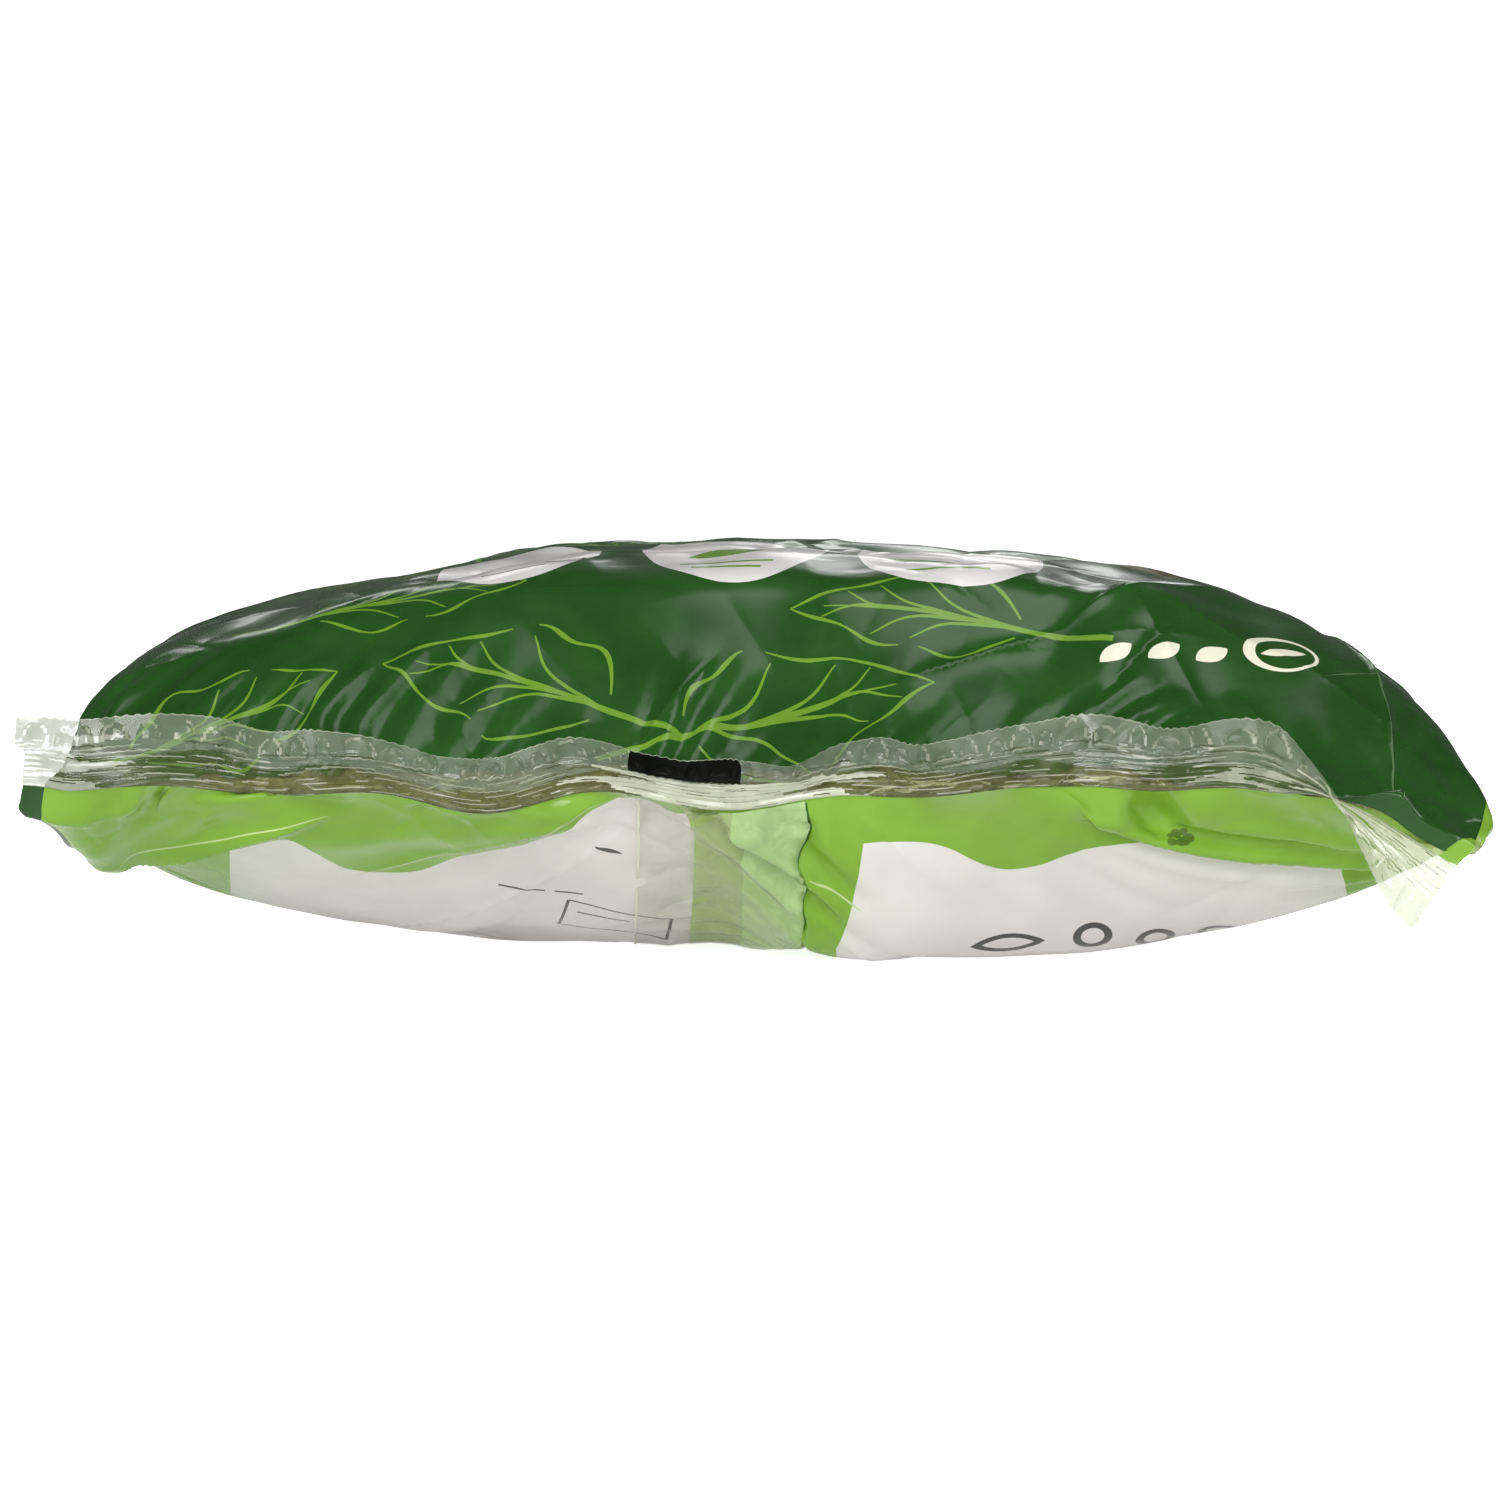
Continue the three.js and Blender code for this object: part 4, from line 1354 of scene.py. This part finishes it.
def back_seam():
    """The tube's closing seam: a flap folded flat against the back panel."""
    across = np.linspace(0, SEAM_LINE - FLAP_EDGE, 76)
    seen, unseen = np.arange(0.4, FLAP_SEEN_TO, 0.7), np.arange(FLAP_SEEN_TO, FILM_LENGTH - 0.5, 2.0)
    v = np.concatenate([seen, unseen])
    e, vv = np.meshgrid(across, v, indexing="ij")
    loose = smooth(e, 2, 24) * (1 - smooth(vv, 70, 100))
    lift = 0.22 + loose * (0.5 + 0.45 * np.sin(vv / 6.5 + e / 9) + 0.35 * np.sin(vv / 3.1 - e / 4))
    lift = lift + 0.5 * np.exp(-e / 3) * np.sin(vv / 1.9 + 1.2 * np.sin(vv / 5)) ** 2
    weld = seam_line(vv)
    points, _ = film.at("back", weld - e * (weld - FLAP_EDGE) / across[-1], vv, lift)
    points[..., 2] = np.maximum(points[..., 2], TABLE_GAP / 3)
    faces = sheet_faces(*e.shape)[:, ::-1]
    middle = np.repeat((across[1:] + across[:-1]) / 2, len(v) - 1)
    inks = np.full(len(faces), INK["clear"])
    inks[middle < FLAP_PALE] = INK["flap_pale"]
    inks[middle < FLAP_GREEN] = INK["flap_green"]
    inks[middle > across[-1] - 0.6] = INK["seal_bright"]
    make_piece("back_seam_flap", points.reshape(-1, 3), faces, None, inks, ("back_seam",))


back_seam()

# ---------------------------------------------------------------- greens

LEAVES_AT_AN_END, STALKS_AT_AN_END = 70, 30

def leaf_green(name, deep, light):
    """Crumpled leaf with a net of pale veins."""
    finish = Finish(name)
    vein = finish.ramp(finish.noise(240, detail=4, roughness=0.65), (0.40, 0.0), (0.62, 1.0))
    patch = finish.ramp(finish.noise(60, detail=2), (0.35, 0.0), (0.65, 1.0))
    colour = finish.mix(vein, deep, light)
    return finish.surface(
        Base_Color=finish.mix(patch * 0.5, colour, srgb(96, 84, 46)),
        Roughness=finish.noise(200) * 0.2 + 0.35,
        Normal=finish.bump(vein, 0.0005, 0.6),
    )


def stalk_pale():
    """Pale ribbed stalk."""
    finish = Finish("chard_stalk")
    grain = finish.noise(320, detail=3)
    return finish.surface(
        Base_Color=finish.mix(grain, srgb(150, 152, 96), srgb(204, 204, 164)),
        Roughness=finish.noise(150) * 0.15 + 0.3,
        Normal=finish.bump(grain, 0.0003, 0.4),
    )


ROOT_CLEAR = 0.9  # how far the greens stay from a seal's root


def pressed(panel, u, v, depth):
    """Places just inside the film, clear of its folds and seals, and more so by the near corners."""
    reach = HALF_FILM - 5 - 17 * np.exp(-((v / 30) ** 2))
    u, v = np.clip(u, -reach, reach), np.clip(v, ROOT_CLEAR, FILM_LENGTH - ROOT_CLEAR)
    return film.between(panel, u, v, depth)


def at_end(end, v, least, most):
    """Distances from a seal, kept within limits, as places along the film: end 0 is the near one."""
    v = np.clip(v, least, most)
    return v if end == 0 else FILM_LENGTH - v


class Heap:
    """Many small sheets joined into one piece."""

    def __init__(self):
        self.points, self.faces, self.count = [], [], 0

    def add(self, grid):
        columns, rows = grid.shape[:2]
        self.points.append(grid.reshape(-1, 3))
        self.faces.append(sheet_faces(columns, rows) + self.count)
        self.count += columns * rows

    def finish(self, name, material):
        """Makes the piece, which stands in the solid body's place."""
        points, faces = np.concatenate(self.points), np.concatenate(self.faces)
        piece = make_piece(name, points, faces, replaces=("bag_body",))
        piece.data.materials.append(material)


def packed_mass():
    """The greens behind the film: a crumpled mass, finer where the clear bands show it."""
    heap = Heap()
    seen_to, edge = 34, HALF_FILM - 4
    shown = np.arange(ROOT_CLEAR, seen_to, 1.1)
    covered = np.arange(seen_to + 2, FILM_LENGTH - seen_to, 6)
    whole = np.concatenate([shown, covered, (FILM_LENGTH - shown)[::-1]])
    for panel, v, depth in (("front", whole, 2.6), ("back", covered, 4.0)):
        u, vv = np.meshgrid(np.linspace(-edge, edge, 230), v, indexing="ij")
        crumple = 0.9 * np.sin(u / 3.9 + 2 * np.sin(vv / 7)) + 0.7 * np.sin(vv / 2.9 + u / 9)
        heap.add(pressed(panel, u, vv, depth + crumple))
    heap.finish("packed_greens", leaf_green("chard_leaf", srgb(38, 44, 16), srgb(98, 102, 44)))


def loose_leaves(rng):
    """Small leaves at both ends, just under the front panel."""
    heap = Heap()
    for end in (0, 1):
        for _ in range(LEAVES_AT_AN_END):
            u0, v0, turn = rng.uniform(-136, 108), rng.uniform(4, 18), rng.uniform(0, 2 * np.pi)
            length, width, deep = rng.uniform(14, 34), rng.uniform(6, 15), rng.uniform(0.25, 1.6)
            s, t = np.meshgrid(np.linspace(-0.5, 0.5, 26), np.linspace(-0.5, 0.5, 12), indexing="ij")
            half = width * np.sqrt(np.clip(1 - (2 * s) ** 2, 0.02, 1))
            half *= 1 + 0.12 * np.sin(s * 31 + turn)
            along, aside = s * length, t * half
            u = u0 + along * np.cos(turn) - aside * np.sin(turn)
            v = v0 + along * np.sin(turn) + aside * np.cos(turn)
            depth = deep + 0.45 * np.sin(along / 1.7 + aside / 1.3) + 0.4 * np.cos(aside / 1.1)
            heap.add(pressed("front", u, at_end(end, v, 2, 60), np.maximum(depth, 0.15)))
    heap.finish("loose_leaves", leaf_green("chard_leaf_edge", srgb(66, 72, 28), srgb(120, 124, 62)))


def pale_stalks(rng):
    """Thin stalks at both ends, lying along the seals."""
    heap = Heap()
    for end in (0, 1):
        for _ in range(STALKS_AT_AN_END):
            u0, v0 = rng.uniform(-132, 104), rng.uniform(4, 12)
            turn, length, deep = rng.normal(0, 0.3), rng.uniform(12, 40), rng.uniform(0.5, 1.4)
            s, a = np.meshgrid(np.linspace(-0.5, 0.5, 24), np.linspace(0, 2 * np.pi, 8), indexing="ij")
            radius = rng.uniform(0.4, 1.1) * (1 - 0.6 * np.abs(2 * s) ** 3)
            u = u0 + s * length * np.cos(turn)
            v = v0 + s * length * np.sin(turn) + 1.5 * np.sin(s * 5 + turn) + radius * np.cos(a)
            depth = deep + radius * (1 + np.sin(a))
            heap.add(pressed("front", u, at_end(end, v, 2.4, 50), depth))
    heap.finish("pale_stalks", stalk_pale())


packed_mass()
loose_leaves(np.random.default_rng(7))
pale_stalks(np.random.default_rng(8))

# ---------------------------------------------------------------- camera, floor and light

VIEW_DISTANCE = 2.0  # in metres, like all that follows
VIEW_RISE = math.radians(3.0)
AIM_HEIGHT, LAMPS_AIM = 0.0375, 0.04
LENS, SENSOR = 212.0, 36.0
FLOOR_REACH = 30.0
FLOOR_COLOUR = srgb(238, 238, 236)
FLOOR_GLOW, FLOOR_WHITE = 0.24, 0.85  # what the floor gives, and how bright it looks
ROOM_IN_FRONT, ROOM_BEHIND, ROOM_ABOVE = 0.42, 0.08, 0.3
BACKDROP = 1.05
WHITE = (1, 1, 1, 1)
GLOWS = (  # soft lobes of light: towards, strength, and the cosines where each begins and is full
    ((0.26, 0.12, 0.958), 2.2, 0.955, 0.995),
    ((0.05, 0.967, 0.25), 2.2, 0.9975, 0.9994),
    ((0.068, 0.922, 0.38), 2.2, 0.9975, 0.9994),
    ((0.08, 0.862, 0.50), 2.2, 0.9975, 0.9994),
    ((-0.13, 0.916, 0.38), 2.0, 0.9975, 0.9994),
)


def camera():
    """A long lens, a little above the table, looks at the near seal."""
    lens = bpy.data.cameras.new("camera")
    lens.lens, lens.sensor_width = LENS, SENSOR
    lens.clip_end = 50
    eye = bpy.data.objects.new("camera", lens)
    bpy.context.scene.collection.objects.link(eye)
    aim = Vector((0, 0, AIM_HEIGHT))
    eye.location = aim + VIEW_DISTANCE * Vector((0, -math.cos(VIEW_RISE), math.sin(VIEW_RISE)))
    eye.rotation_euler = (aim - eye.location).to_track_quat("-Z", "Y").to_euler()
    bpy.context.scene.camera = eye


def floor():
    """A pale lit table. It looks brighter than the light that it gives, so no horizon shows."""
    finish = Finish("pale_floor")
    sides = []
    for glow in (FLOOR_GLOW, FLOOR_WHITE):
        inputs = {"Base Color": (*FLOOR_COLOUR, 1), "Roughness": 0.9}
        inputs.update({"Emission Color": WHITE, "Emission Strength": glow})
        sides.append(finish.node("ShaderNodeBsdfPrincipled", None, inputs))
    seen = finish.node("ShaderNodeLightPath", out="Is Camera Ray")
    mixed = finish.node("ShaderNodeMixShader", None, {0: seen, 1: sides[0], 2: sides[1]})
    finish.node("ShaderNodeOutputMaterial", None, {0: mixed})
    corners = [(FLOOR_REACH * x, FLOOR_REACH * y, 0) for x, y in ((-1, -1), (1, -1), (1, 1), (-1, 1))]
    mesh = bpy.data.meshes.new("floor")
    mesh.from_pydata(corners, [], [(0, 1, 2, 3)])
    mesh.materials.append(finish.material)
    ground = bpy.data.objects.new("floor", mesh)
    bpy.context.scene.collection.objects.link(ground)


def world():
    """White behind the bag; what lights it is a room, bright in front and dim behind and above."""
    sky = bpy.data.worlds.new("studio")
    bpy.context.scene.world = sky
    nodes = Nodes(sky)
    direction = nodes.node("ShaderNodeTexCoord", out="Generated")

    def towards(way):
        inputs = {0: direction, 1: way}
        return nodes.node("ShaderNodeVectorMath", {"operation": "DOT_PRODUCT"}, inputs, out="Value")

    def spread(value, low, high, at_low, at_high, kind="LINEAR"):
        inputs = {0: value, 1: low, 2: high, 3: at_low, 4: at_high}
        return nodes.node("ShaderNodeMapRange", {"interpolation_type": kind}, inputs)

    height = nodes.node("ShaderNodeSeparateXYZ", None, {0: direction}, out="Z")
    strength = spread(towards((0, -1, 0)), -0.6, 0.9, ROOM_BEHIND, ROOM_IN_FRONT)
    strength = strength * spread(height, 0.0, 0.8, 1.0, ROOM_ABOVE)
    for way, power, begins, full in GLOWS:
        strength = strength + spread(towards(way), begins, full, 0.0, power, "SMOOTHSTEP")
    room = nodes.node("ShaderNodeBackground", None, {0: WHITE, 1: strength})
    plain = nodes.node("ShaderNodeBackground", None, {0: WHITE, 1: BACKDROP})
    seen = nodes.node("ShaderNodeLightPath", out="Is Camera Ray")
    mixed = nodes.node("ShaderNodeMixShader", None, {0: seen, 1: room, 2: plain})
    nodes.node("ShaderNodeOutputWorld", None, {0: mixed})


def softbox(name, place, size, power, mirrored=True):
    """A lamp that faces the bag. One that isn't mirrored leaves no gleam on the film."""
    light = bpy.data.lights.new(name, "AREA")
    light.shape = "RECTANGLE"
    light.size, light.size_y = size
    light.energy = power
    lamp = bpy.data.objects.new(name, light)
    lamp.location = place
    aim = Vector((0, 0, LAMPS_AIM)) - Vector(place)
    lamp.rotation_euler = aim.to_track_quat("-Z", "Y").to_euler()
    lamp.visible_glossy = mirrored
    bpy.context.scene.collection.objects.link(lamp)


camera()
floor()
world()
softbox("front_key", (-0.3, -2.2, 0.9), (1.6, 1.0), 42)
softbox("left_side", (-1.6, -0.4, 0.7), (0.8, 0.8), 6)
softbox("right_side", (1.6, -0.3, 0.9), (0.7, 0.7), 9)
softbox("overhead_fill", (0.0, 0.3, 2.2), (1.4, 1.4), 16, mirrored=False)
bpy.context.scene.view_settings.view_transform = "Standard"
